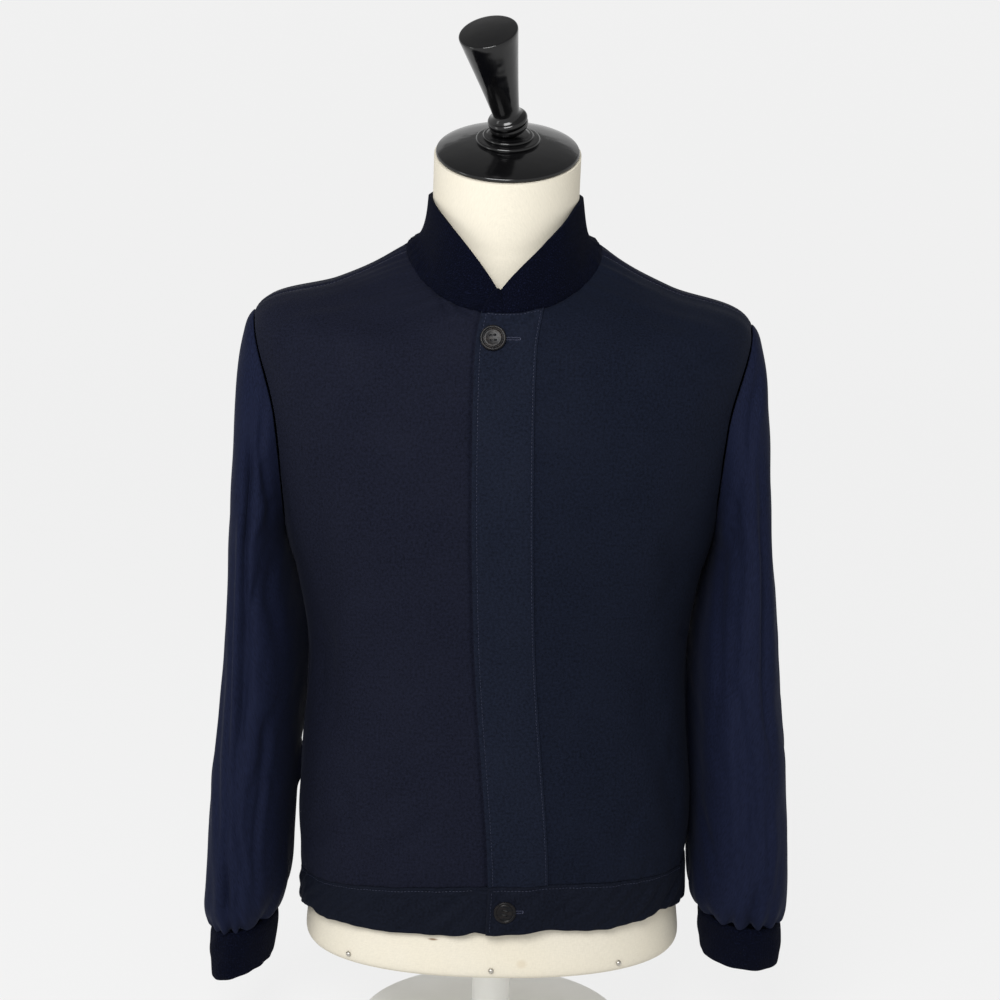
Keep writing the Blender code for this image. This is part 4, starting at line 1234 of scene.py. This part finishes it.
def make_collar(look):
    """The rib collar: its seam lies under the panels' top edges, and its sides are drawn in to the neck."""
    sizes = bpy.context.scene.jacket_sizes
    wall = sizes.rib_wall
    low = raised(RINGS[-1], -0.0018)
    part = edge_shares(16, 0.028)
    columns = round(COLLAR_LENGTH / sizes.rib_pitch) * RIB_STEPS
    points, normals, turn, distance = band_grid(low, COLLAR_TOP, part, COLLAR_UNDERLAP, columns, wall)
    height = lengths(points, 0)
    turn = (turn + 180) % 360 - 180
    seam = np.full(turn.shape, len(RINGS) - 1.02)
    followed = body_cloth(turn, seam)[0] - body_points(turn, seam)
    tucked = followed * near(height, 0.010)[..., None]
    tucked = tucked - body_normals(turn, seam) * 0.0022 * near(height, 0.0030)[..., None]
    aside = ease(np.abs(turn), 35, 80)
    share = part[:, None]
    wavy = ripple("collar", distance, height)
    flare = 0.0056 * aside * near(height, 0.013)  # out to the shoulders' cloth
    hollow = 0.0026 * aside * np.sin(math.pi * share**0.8)  # above that, in towards the neck
    leaning = 0.0016 * aside * share
    lap_edge = 0.0014 * (1 - ease(distance, 0.001, 0.012)) + 0.0006 * near(distance - 0.0012, 0.0014)
    points = points + tucked + normals * (wavy + lap_edge + flare - hollow - leaning)[..., None]
    # The meeting of both ends lies a little to the wearer's right, with its corner rounded off.
    middle = share * near(turn, 22)
    points[..., 0] -= 0.0030 * middle
    points[..., 2] += 0.0024 * middle - 0.0016 * share * (1 - ease(distance, 0.0, 0.006))
    relief = np.broadcast_to(rib_relief(columns + 1, sizes.rib_height), distance.shape)
    relief = relief + 0.0005 * ease(height, 0.5 * height[-1:], height[-1:])  # fuller at its fold
    points = folded(points, normals, wall, relief, ends=True)
    return doubled_piece("jacket_collar", points, look, "collar_rib")


# ---- Sleeves and cuffs ----


def sleeve_ring(row, side, around):
    """Points of a sleeve's section at angles from its outer side over its front."""
    outer = np.cos(around)
    front = np.sin(around)
    size = (np.abs(outer) ** row.square + np.abs(front) ** row.square) ** (-1 / np.asarray(row.square))
    from_middle = (row.front_y - row.back_y) / 2 * size * front
    x = (row.inner_x + row.outer_x) / 2 + (row.outer_x - row.inner_x) / 2 * size * outer
    x = x - SLEEVE_TOE_IN * from_middle
    y = (row.front_y + row.back_y) / 2 + from_middle
    z = (row.inner_z + row.outer_z) / 2 + (row.outer_z - row.inner_z) / 2 * size * outer
    return np.stack(np.broadcast_arrays(side * x, y, z), axis=-1)


def armhole_line(side, around):
    """The armhole's edge, from the shoulder tip down the front, and the normals there."""
    middle = (ARMPIT_LEVEL + SHOULDER_TIP_LEVEL) / 2
    level = middle + (SHOULDER_TIP_LEVEL - middle) * np.cos(around)
    reach = np.where(np.sin(around) > 0, ARMHOLE_FRONT, ARMHOLE_BACK)
    turn = side * (seam_turn(level) - reach * np.sin(around))
    return body_points(turn, level), body_normals(turn, level)


def sleeve_surface(side, around, down):
    """Points of a sleeve: down 0 to 1 is its head, from the armhole's edge, and 1 to 2 its length."""
    rows = SLEEVES["left" if side > 0 else "right"]
    start, normal = armhole_line(side, around)
    end = sleeve_ring(rows[0], side, around)
    below = sleeve_ring(between(rows, 0.1), side, around)
    span = np.linalg.norm(end - start, axis=-1, keepdims=True)
    away = unit(normal + np.array([0.0, 0.0, -HEAD_DROP]))
    leave = away * span * HEAD_LEAVE
    arrive = unit(below - end) * span * HEAD_ARRIVE
    part = np.clip(down, 0, 1)[..., None]
    square, cube = part**2, part**3
    head = (
        (start + away * 0.0005) * (2 * cube - 3 * square + 1)
        + leave * (cube - 2 * square + part)
        + end * (3 * square - 2 * cube)
        + arrive * (cube - square)
    )
    inside = unit(np.cross(normal, np.gradient(start, axis=-2))) * side
    head = head + (inside * SEAM_TUCK[0] - normal * SEAM_TUCK[1]) * near(part, 0.003)
    length = sleeve_ring(between(rows, np.clip(down - 1, 0, 1) * (len(rows) - 1)), side, around)
    return np.where(down[..., None] <= 1, head, length)


GATHERS = {  # angle from the sleeve's outer side, and depth in mm
    "left": (
        *((20, 3.2), (43, 2.4), (68, 3.4), (90, 3.8), (118, 3.0)),
        *((146, 2.6), (205, 3.0), (238, 2.6), (280, 3.2), (322, 2.8)),
    ),
    "right": (
        *((16, 3.2), (40, 3.0), (62, 2.4), (86, 3.6), (104, 3.0)),
        *((140, 2.8), (196, 2.6), (232, 3.0), (275, 3.0), (318, 3.2)),
    ),
}


def gathers(which, around, above):
    """Pleats where the sleeve is gathered into its cuff."""
    total = np.zeros(np.broadcast(around, above).shape)
    for number, (angle, depth) in enumerate(GATHERS[which]):
        lean = math.radians(9 if number % 2 else -7) * above / 0.04
        aside = (around - math.radians(angle) - lean + math.pi) % (2 * math.pi) - math.pi
        reach = 0.022 + 0.013 * ((number * 7) % 5) / 4
        width = math.radians(5.0 + (number * 3) % 4)
        trough = near(aside, width) - 0.45 * near(np.abs(aside) - 2.1 * width, width)
        total += 0.00085 * depth * trough * np.exp(-above / reach)
    return total


def sleeve_cloth(side, around, down):
    """A sleeve's outer face with its folds, creases and gathers."""
    sizes = bpy.context.scene.jacket_sizes
    which = "left" if side > 0 else "right"
    base = sleeve_surface(side, around, down)
    normal = grid_normals(base, closed=True) * side
    above = lengths(base, 0)
    above = above[-1:] - above
    z = base[..., 2]
    fold = troughs(SLEEVE_FOLDS[which], np.degrees(around), z, SLEEVE_GIRTH)
    fold = fold + pressed(base, normal, SLEEVE_CREASES[which])
    fold = fold + gathers(which, around, above)
    aside, ahead = SLEEVE_RADIUS * np.cos(around), SLEEVE_RADIUS * np.sin(around)
    uneven = ripple("sleeve", ahead, z, side) + ripple("sleeve's nap", aside, z + ahead, side)
    shown = np.clip(down * 3, 0, 1)
    inward = np.maximum(uneven - fold * sizes.fold_strength, -SLEEVE_ROOM) * shown
    head_seam = lengths(base, 0)
    dip = sizes.seam_dip * (near(head_seam, 0.0025) + near(above, 0.0025))
    fullness = 0.0010 * near(head_seam - 0.012, 0.009) * np.clip(np.cos(around) + 0.3, 0, 1)
    return base + normal * (inward - dip + fullness)[..., None]


def make_sleeve(side, look):
    sizes = bpy.context.scene.jacket_sizes
    which = "left" if side > 0 else "right"
    head, length = (np.linspace(k, k + 1, count) for k, count in enumerate(SLEEVE_ROWS))
    # The rows lie close together at both seams.
    down = np.unique(np.concatenate([[0.004, 0.009], head, length, [1.994, 1.998]]))
    around = 2 * math.pi * np.arange(SLEEVE_COLUMNS) / SLEEVE_COLUMNS
    down, around = np.broadcast_arrays(down[:, None], around[None])
    points = sleeve_cloth(side, around, down)
    name = "jacket_sleeve_" + which
    return cloth_piece(name, points, look, ["sleeve_" + which], sizes.cloth_wall, True, side < 0)


def make_cuff(side, look):
    sizes = bpy.context.scene.jacket_sizes
    wall = sizes.rib_wall
    which = "left" if side > 0 else "right"
    rows = CUFFS[which]
    dense = 2 * math.pi * np.arange(720) / 720
    shares, length = even_shares(sleeve_ring(rows[1], side, dense), 721, closed=True)
    columns = round(length / sizes.rib_pitch) * RIB_STEPS
    around = np.interp(np.arange(columns) / columns, np.linspace(0, 1, 721), shares) * 2 * math.pi
    part = edge_shares(15, wall / 2 / CUFF_HEIGHT)
    part, around = np.broadcast_arrays(part[:, None], around[None])
    points = sleeve_ring(between(rows, part * (len(rows) - 1)), side, around)
    points[..., 2] -= 0.0005 * (1 - part)
    normals = grid_normals(points, closed=True) * side
    height = lengths(points, 0)
    belly = 0.0010 * np.sin(math.pi * part)
    aside, ahead = SLEEVE_RADIUS * np.cos(around), SLEEVE_RADIUS * np.sin(around)
    wavy = ripple("cuff", aside, ahead + height, side)
    dip = sizes.seam_dip * near(height, 0.0022)
    points = points + normals * (belly + wavy - dip)[..., None]
    relief = np.broadcast_to(rib_relief(columns, sizes.rib_height), part.shape)
    points = folded(points, normals, wall, relief)
    return doubled_piece("jacket_cuff_" + which, points, look, "cuff_" + which, True)


# ---- Sewing ----


def topstitching():
    """The lines of stitches that show."""
    sizes = bpy.context.scene.jacket_sizes
    stitches = []

    def run(points, normals):
        sew(stitches, points, normals, sizes.stitch_pitch, sizes.stitch_length, sizes.thread)

    level = np.linspace(0.03, 7.93, 400)[:, None]
    points, normals = placket_lines(np.array([[EDGE_LINE, SECOND_LINE]]), level)
    for column in (0, 1):
        run(points[:, column], normals[:, column])
    points, normals = placket_lines(np.linspace(0.005, 0.049, 60)[None], np.array([[7.90]]))
    run(points[0], normals[0])

    part = 1 - np.array([BAND_LINE, BAND_LINE - 1e-5]) / BAND_HEIGHT
    points, normals = waistband_face(part, LINE_COLUMNS)
    run(points[0, 4:-44], normals[0, 4:-44])
    points, normals = waistband_face(np.linspace(0.06, 0.90, 30), LINE_COLUMNS)
    near_edge = round(EDGE_LINE / BAND_LENGTH * LINE_COLUMNS)
    run(points[:, near_edge], normals[:, near_edge])

    for side in (-1, 1):
        around = np.linspace(-2.75, 2.75, 400)
        base, normals = armhole_line(side, around)
        inside = unit(np.cross(normals, np.gradient(base, axis=0))) * side
        run(base + inside * 0.0024 - normals * 0.0005, normals)
        level = np.linspace(SHOULDER_TIP_LEVEL + 0.05, len(RINGS) - 1.06, 120)[:, None]
        turn = side * (seam_turn(level) - 1.3)
        points, normals = body_cloth(turn, level, -0.0004)
        run(points[:, 0], normals[:, 0])
    return threads(stitches)


def buttonhole(stitches, start, end, normal):
    """A buttonhole: two rows of close stitches beside its slit, fanned out round its far end."""
    run = (end - start) / np.linalg.norm(end - start)
    across = np.cross(normal, run)
    normals = np.array([normal, normal])

    def stitch(low, high):
        sew(stitches, np.array([low, high]), normals, 1.0, 0.0014, 0.00050)

    count = round(np.linalg.norm(end - start) / 0.00056)
    for k in range(count):
        place = start + (end - start) * k / count
        for row in (-1, 1):
            stitch(place + across * row * 0.00035, place + across * row * 0.0016)
    for k in range(9):
        angle = math.radians(-80 + 20 * k)
        out = run * math.cos(angle) + across * math.sin(angle)
        stitch(end + out * 0.0005, end + out * 0.0018)


def buttonholes():
    """The two buttonholes, each running out from under its button towards the wearer's left."""
    stitches = []
    points, normals = placket_lines(np.array([[0.0170, 0.0360]]), np.array([[NECK_BUTTON_LEVEL]]))
    up = unit(normals[0].mean(axis=0))
    buttonhole(stitches, points[0, 0] + up * 0.0002, points[0, 1] + up * 0.0002, up)
    points, normals = waistband_face(np.array([0.49, 0.50]), LINE_COLUMNS)
    first, last = (round(place / BAND_LENGTH * LINE_COLUMNS) for place in (0.0185, 0.0345))
    up = unit(normals[0, first:last].mean(axis=0))
    buttonhole(stitches, points[0, first] + up * 0.0002, points[0, last] + up * 0.0002, up)
    return threads(stitches)


HOLE_STRETCH = 1.45  # the holes are worn wider along their threads


def drilled(name, blank, holes, radius, depth):
    """The blank button with its holes cut through."""
    data = bpy.data.meshes.new(name)
    blank.to_mesh(data)
    blank.free()
    drill = bmesh.new()
    for x, y in holes:
        place = Matrix.Translation((x, y, 0)) @ Matrix.Diagonal((HOLE_STRETCH, 1.0, 1.0, 1.0))
        bmesh.ops.create_cone(
            drill, cap_ends=True, segments=20, radius1=radius, radius2=radius, depth=depth, matrix=place
        )
    drill_data = bpy.data.meshes.new("drill")
    drill.to_mesh(drill_data)
    drill.free()
    body, tool = (bpy.data.objects.new(item.name, item) for item in (data, drill_data))
    for scratch in (body, tool):
        bpy.context.scene.collection.objects.link(scratch)
    cut = body.modifiers.new("Holes", "BOOLEAN")
    cut.operation = "DIFFERENCE"
    cut.object = tool
    bpy.context.view_layer.update()
    made = bpy.data.meshes.new_from_object(body.evaluated_get(bpy.context.evaluated_depsgraph_get()))
    for scratch in (body, tool):
        bpy.data.objects.remove(scratch, do_unlink=True)
    for scratch in (data, drill_data):
        bpy.data.meshes.remove(scratch)
    made.name = name
    return made


Button = namedtuple("Button", "radius thickness spin")
BUTTONS = {"neck": Button(0.0112, 0.0030, 8), "waistband": Button(0.0098, 0.0028, -14)}
BUTTON_FACE = (  # shares of the radius and the thickness, from the rim over its groove to the middle
    *((0.800, 0.78), (0.770, 0.60), (0.735, 0.56), (0.700, 0.64), (0.640, 0.74)),
    *((0.540, 0.70), (0.400, 0.62), (0.200, 0.58), (0.0, 0.57)),
)
BUTTON_GAP = 0.0008  # its shank's, over the cloth


def make_button(which, point, normal, look, thread_look):
    """A four-hole button with a broad rim, a turned groove and a dished middle, sewn on with two bars."""
    radius, thickness, spin = BUTTONS[which]
    name = "jacket_button_" + which
    place = frame_at(point + normal * BUTTON_GAP, normal) @ Matrix.Rotation(math.radians(spin), 4, "Z")
    rim = thickness * 0.42
    blank = bmesh.new()
    profile = [(0.0, 0.0), (radius * 0.72, 0.0)]
    profile += arc(radius - rim, rim, rim, -75, 105, 10)
    profile += [(radius * reach, thickness * height) for reach, height in BUTTON_FACE]
    turned(blank, profile, Matrix(), 64)
    holes = [(x * radius * 0.145, y * radius * 0.20) for x in (-1, 1) for y in (-1, 1)]
    data = drilled(name, blank, holes, radius * 0.092, thickness * 3)
    mesh = bmesh.new()
    mesh.from_mesh(data)
    mesh.transform(place)
    hand_over(mesh, data, look, ["button_" + which], sharp=50)
    bars = bmesh.new()
    for y in (-1, 1):
        for strand in (-1, 0, 1):
            centre = Matrix.Translation((0, y * radius * 0.20 + strand * 0.0003, thickness * 0.50))
            size = Matrix.Diagonal((radius * 0.24, 0.00024, 0.00036, 1.0))
            strand_place = place @ centre @ size
            bmesh.ops.create_uvsphere(bars, u_segments=12, v_segments=8, radius=1.0, matrix=strand_place)
    shank = [(0.0, -0.0008), (0.0022, -0.0008), (0.0019, 0.0001), (0.0, 0.0001)]
    turned(bars, shank, place, 16)
    return hand_over(bars, bpy.data.meshes.new(name + "_thread"), thread_look, None, flip=False)


# ---- The dress form ----


def form_rings():
    """The form's sections: the jacket's own, drawn in by the ease, between the skirt and the neck."""
    under = []
    for level, ring in enumerate(RINGS[:-1]):
        drop = FORM_EASE if level >= SHOULDER_TIP_LEVEL else 0.0
        side_ease = FORM_EASE + (FORM_SIDE_EASE if level > ARMPIT_LEVEL else 0.0)
        under.append(
            ring._replace(
                half_width=ring.half_width - side_ease,
                front=ring.front - FORM_EASE,
                back=ring.back - FORM_EASE,
                front_z=ring.front_z - drop / 2,
                side_z=ring.side_z - drop,
                back_z=ring.back_z - drop,
                tilt=0.0,
            )
        )
    return (*FORM_SKIRT, *under, *FORM_NECK)


def cap_frame():
    return frame_at(NECK_TOP, CAP_AXIS)


def make_form(look):
    """The linen cover, from the flat base up to the neck's top, with a sewn seam down its back."""
    rings = form_rings()
    seam = np.array([-3.0, -1.6, -0.8, -0.35, 0.0, 0.35, 0.8, 1.6, 3.0])
    sides = np.linspace(3, 177, 52)[1:-1]
    turn = np.concatenate([seam, sides, 180 + seam, 360 - sides[::-1]])[None]
    level = np.linspace(0, len(rings) - 1, 150)[:, None]
    body = ring_points(between(rings, level), turn)
    place = np.array(cap_frame())
    angle = np.radians(turn[0])
    rim = np.stack([np.sin(angle), -np.cos(angle), 0 * angle], axis=-1) * NECK_RADIUS
    rim[:, 2] -= 0.0003
    top = rim @ place[:3, :3].T + place[:3, 3]
    share = np.linspace(0, 1, 13)[1:, None, None]
    neck = body[-1][None] * (1 - share) + top[None] * share
    points = np.concatenate([body, neck], axis=0)
    normals = grid_normals(points, closed=True)
    across = np.abs(turn - 180)
    groove = 0.0005 * np.exp(-((across / 0.5) ** 2)) * np.ones(points.shape[:2])
    points = points - normals * groove[..., None]
    mesh, data = shell("form_cover", points, closed_across=True)
    rim_edges = [edge for edge in mesh.edges if edge.is_boundary]
    bmesh.ops.holes_fill(mesh, edges=rim_edges, sides=0)
    bmesh.ops.recalc_face_normals(mesh, faces=mesh.faces)
    ends = [face for face in mesh.faces if len(face.verts) > 4]
    bmesh.ops.inset_region(mesh, faces=ends, thickness=0.0015, depth=0.0)
    return hand_over(mesh, data, look, ["form_torso"], sharp=50)


def make_cap(look):
    """The turned cap: a thin lip, a shallow domed crown and two stepped rings."""
    mesh = bmesh.new()
    profile = [(0.0, 0.0), (0.0592, 0.0)]
    profile += arc(0.0606, 0.0020, 0.0020, -75, 75, 10)
    profile += [(0.0606, 0.0042), (0.0598, 0.0047), (0.0550, 0.0065), (0.0500, 0.0081), (0.0450, 0.0094)]
    profile += [(0.0400, 0.0105), (0.0345, 0.0114), (0.0300, 0.0120), (0.0284, 0.0121)]
    profile += arc(0.0262, 0.0138, 0.0018, -50, 85, 8)
    profile += [(0.0242, 0.0156), (0.0227, 0.0158)]
    profile += arc(0.0206, 0.0172, 0.0014, -50, 85, 8)
    profile += [(0.0194, 0.0186), (0.0186, 0.0187), (0.0180, 0.0191), (0.0164, 0.0193), (0.0, 0.0194)]
    turned(mesh, profile, cap_frame(), 96)
    return hand_over(mesh, bpy.data.meshes.new("form_cap"), look, ["neck_cap"], sharp=38)


def make_finial(look):
    """The knob, a bead with a groove under it, and the handle flaring to a slightly domed top."""
    lean = CAP_AXIS.angle(FINIAL_AXIS)
    reach = math.hypot(KNOB_RADIUS * math.sin(lean), KNOB_HALF_HEIGHT * math.cos(lean))
    centre = NECK_TOP + CAP_AXIS * (CAP_HEIGHT + 0.0004 + reach)
    knob = [(0.0120, -0.0075), (0.0130, -0.0068), (0.0148, -0.0058), (0.0162, -0.0042), (0.0170, -0.0022)]
    knob += [(0.0172, -0.0006), (0.0168, 0.0004), (0.0168, 0.0010)]
    knob += arc(0.0142, 0.0040, 0.0033, -60, 75, 8)
    handle = [(0.0136, 0.0086), (0.0122, 0.0102), (0.0119, 0.0125), (0.0128, 0.0190), (0.0149, 0.0320)]
    handle += [(0.0168, 0.0430), (0.0188, 0.0540), (0.0206, 0.0640), (0.0224, 0.0735), (0.0237, 0.0805)]
    handle += [(0.0248, 0.0865), (0.0254, 0.0895)]
    handle += arc(0.0242, 0.0912, 0.0013, -10, 80, 5)
    handle += [(0.0226, 0.0927), (0.0160, 0.0940), (0.0080, 0.0948), (0.0, 0.0950)]
    mesh = bmesh.new()
    turned(mesh, [(0.0, -KNOB_HALF_HEIGHT), *knob, *handle], frame_at(centre, FINIAL_AXIS), 72)
    return hand_over(mesh, bpy.data.meshes.new("form_finial"), look, ["finial"], sharp=38)


def make_tacks(look):
    """Domed tack heads round the form's lower edge."""
    skirt = FORM_SKIRT[1]
    mesh = bmesh.new()
    head = [(0.0, 0.0), (0.0022, 0.0)] + arc(0.0, 0.0002, 0.0025, 5, 88, 7) + [(0.0, 0.0023)]
    names = []
    for count, turn in enumerate(TACK_TURNS):
        along = ring_points(skirt, np.array(turn + 1.0)) - ring_points(skirt, np.array(turn - 1.0))
        normal = unit(np.cross(along, (0, 0, 1)))
        turned(mesh, head, frame_at(ring_points(skirt, np.array(turn)) + normal * 0.0003, normal), 24)
        names.append(f"tack_{count + 1}")
    return hand_over(mesh, bpy.data.meshes.new("form_tacks"), look, names, flip=False)


def make_stand(look):
    """The round foot with a rolled edge, and the column with a collar where it enters the form."""
    foot = [(0.0, 0.0), (0.1235, 0.0)] + arc(0.1225, 0.0025, 0.0025, -60, 0, 4)
    foot += arc(0.1200, 0.0050, 0.0030, 20, 90, 5) + [(0.0300, 0.0080), (0.0, 0.0080)]
    mesh = bmesh.new()
    turned(mesh, foot, Matrix(), 96)
    hand_over(mesh, bpy.data.meshes.new("stand_foot_plate"), look, ["stand_foot"], sharp=38)
    column = [(0.0, 0.0083), (0.0240, 0.0083), (0.0246, 0.0095), (0.0236, 0.0125), (0.0180, 0.0145)]
    column += [(0.0175, 0.0165), (0.0175, 0.0850), (0.0180, 0.0862), (0.0215, 0.0870), (0.0222, 0.0885)]
    column += [(0.0222, 0.0982), (0.0212, 0.0997), (0.0, 0.0997)]
    mesh = bmesh.new()
    turned(mesh, column, Matrix(), 64)
    return hand_over(mesh, bpy.data.meshes.new("stand_tube"), look, ["stand_column"], sharp=38)


# ---- Operators ----


class JacketOperator:
    bl_options = {"REGISTER", "UNDO"}

    @property
    def colours(self):
        return bpy.context.scene.jacket_colours


class JACKET_OT_body(JacketOperator, bpy.types.Operator):
    """Both fronts, the covered fly and the back"""

    bl_idname = "jacket.body"
    bl_label = "Body"

    def execute(self, context):
        look = cotton_twill("navy_cotton_twill_body", self.colours.body)
        right = make_front(-1, look)
        left = make_front(1, cotton_twill("navy_cotton_twill_left", self.colours.left))
        fly = make_placket(cotton_twill("navy_cotton_twill_fly", self.colours.fly))
        back = make_back(look)
        return {"FINISHED"}


class JACKET_OT_sleeves(JacketOperator, bpy.types.Operator):
    """Both sleeves with their creases and the gathers above the cuffs"""

    bl_idname = "jacket.sleeves"
    bl_label = "Sleeves"

    def execute(self, context):
        # A lighter, bluer copy of the twill for the sleeves: painted light.
        look = cotton_twill("navy_cotton_twill_sleeves", self.colours.sleeve)
        for side in (-1, 1):
            sleeve = make_sleeve(side, look)
        return {"FINISHED"}


class JACKET_OT_bands(JacketOperator, bpy.types.Operator):
    """The waistband, the rib collar and the rib cuffs"""

    bl_idname = "jacket.bands"
    bl_label = "Waistband, Collar and Cuffs"

    def execute(self, context):
        # A darker copy of the twill for the waistband: painted shade.
        waistband = make_waistband(cotton_twill("navy_cotton_twill_band", self.colours.band))
        look = rib_knit("navy_rib_knit", self.colours.rib)
        make_collar(look)
        for side in (-1, 1):
            make_cuff(side, look)
        return {"FINISHED"}


class JACKET_OT_sewing(JacketOperator, bpy.types.Operator):
    """Topstitching and buttonholes"""

    bl_idname = "jacket.sewing"
    bl_label = "Stitching"

    def execute(self, context):
        look = twisted_thread("navy_sewing_thread", self.colours.thread)
        for name, made in (("jacket_topstitching", topstitching()), ("jacket_buttonholes", buttonholes())):
            hand_over(made, bpy.data.meshes.new(name), look, None, flip=False)
        return {"FINISHED"}


class JACKET_OT_buttons(JacketOperator, bpy.types.Operator):
    """The neck button and the waistband button, sewn on"""

    bl_idname = "jacket.buttons"
    bl_label = "Buttons"

    def execute(self, context):
        look = dark_horn("dark_horn", self.colours.button)
        dark_look = twisted_thread("black_sewing_thread", linear("090A0E"))
        points, normals = placket_lines(np.array([[0.0140]]), np.array([[NECK_BUTTON_LEVEL]]))
        make_button("neck", points[0, 0], normals[0, 0], look, dark_look)
        middle = np.mean(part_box("button_waistband"), axis=0)
        points, normals = waistband_face(np.array([0.49, 0.50, 0.51]), LINE_COLUMNS)
        nearest = np.argmin(np.linalg.norm(points[1, :60, :2] - middle[:2], axis=1))
        make_button("waistband", points[1, nearest], normals[1, nearest], look, dark_look)
        return {"FINISHED"}


class JACKET_OT_form(JacketOperator, bpy.types.Operator):
    """The linen form with its lacquered cap, finial and tacks"""

    bl_idname = "jacket.form"
    bl_label = "Dress Form"

    def execute(self, context):
        make_form(canvas_linen("cream_linen", self.colours.linen))
        lacquer = black_lacquer("gloss_black_lacquer", self.colours.lacquer)
        make_cap(lacquer)
        make_finial(lacquer)
        make_tacks(nickel_steel("dull_nickel_steel", self.colours.steel))
        make_stand(powder_coat("white_powder_coat", self.colours.coat))
        return {"FINISHED"}


class JACKET_OT_studio(JacketOperator, bpy.types.Operator):
    """Paper sweep all round, soft lights and the camera"""

    bl_idname = "jacket.studio"
    bl_label = "Studio"

    def execute(self, context):
        scene = context.scene
        studio = scene.jacket_studio
        wall_radius, bend, wall_top = 5.0, 1.2, 4.5
        profile = [(0.0, -0.0004), (wall_radius - bend, -0.0004)]
        profile += arc(wall_radius - bend, bend - 0.0004, bend, -85, 0, 14)
        profile += [(wall_radius, wall_top)]
        mesh = bmesh.new()
        spun(mesh, profile, 96)
        data = bpy.data.meshes.new("studio_sweep")
        mesh.to_mesh(data)
        mesh.free()
        data.shade_smooth()
        data.materials.append(studio_paper("studio_paper", studio.floor))
        sweep = bpy.data.objects.new("studio_sweep", data)
        scene.collection.objects.link(sweep)

        middle = Vector((0, 0, studio.aim_height))
        for name, place, width, height, power in (
            ("key", (-0.5, -2.05, 1.95), 1.3, 1.1, studio.key),
            ("side_left", (-2.3, -0.9, 0.9), 0.5, 1.6, studio.fill),
        ):
            lamp = bpy.data.lights.new(name, "AREA")
            lamp.shape = "RECTANGLE"
            lamp.size = width
            lamp.size_y = height
            lamp.energy = power
            light = bpy.data.objects.new(name, lamp)
            light.location = place
            light.rotation_euler = (middle - Vector(place)).to_track_quat("-Z", "Y").to_euler()
            light.visible_camera = False
            scene.collection.objects.link(light)

        world = bpy.data.worlds.new("studio_world")
        world.use_nodes = True
        world.node_tree.nodes["Background"].inputs["Color"].default_value = (1.0, 1.0, 1.0, 1.0)
        world.node_tree.nodes["Background"].inputs["Strength"].default_value = studio.sky
        scene.world = world
        scene.view_settings.view_transform = "Standard"

        lens = bpy.data.cameras.new("camera")
        lens.lens = studio.lens
        lens.sensor_width = 36.0
        camera = bpy.data.objects.new("camera", lens)
        scene.collection.objects.link(camera)
        away = Vector((0, -math.cos(studio.pitch), math.sin(studio.pitch)))
        place = middle + away * studio.distance
        look = (middle - place).to_track_quat("-Z", "Y").to_matrix().to_4x4()
        camera.matrix_world = Matrix.Translation(place) @ look @ Matrix.Rotation(studio.roll, 4, "Z")
        scene.camera = camera
        return {"FINISHED"}


OPERATORS = (
    JACKET_OT_body,
    JACKET_OT_sleeves,
    JACKET_OT_bands,
    JACKET_OT_sewing,
    JACKET_OT_buttons,
    JACKET_OT_form,
    JACKET_OT_studio,
)


class JACKET_PT_panel(bpy.types.Panel):
    """Lists the pieces of the jacket and its form"""

    bl_label = "Bomber Jacket"
    bl_idname = "JACKET_PT_panel"
    bl_space_type = "VIEW_3D"
    bl_region_type = "UI"
    bl_category = "Jacket"

    def draw(self, context):
        for group, _ in SETTINGS:
            settings = getattr(context.scene, group)
            box = self.layout.box()
            for name in settings.__annotations__:
                box.prop(settings, name)
        for operator in OPERATORS:
            self.layout.operator(operator.bl_idname)


SETTINGS = (
    ("jacket_sizes", JacketSizes),
    ("jacket_colours", JacketColours),
    ("jacket_studio", StudioSettings),
)


def register():
    for name, group in SETTINGS:
        bpy.utils.register_class(group)
        setattr(bpy.types.Scene, name, PointerProperty(type=group))
    for shown in (*OPERATORS, JACKET_PT_panel):
        bpy.utils.register_class(shown)


def unregister():
    for shown in (JACKET_PT_panel, *reversed(OPERATORS)):
        bpy.utils.unregister_class(shown)
    for name, group in reversed(SETTINGS):
        delattr(bpy.types.Scene, name)
        bpy.utils.unregister_class(group)


def main():
    register()
    bpy.ops.jacket.body()
    bpy.ops.jacket.sleeves()
    bpy.ops.jacket.bands()
    bpy.ops.jacket.sewing()
    bpy.ops.jacket.buttons()
    bpy.ops.jacket.form()
    bpy.ops.jacket.studio()


if __name__ == "__main__":
    main()
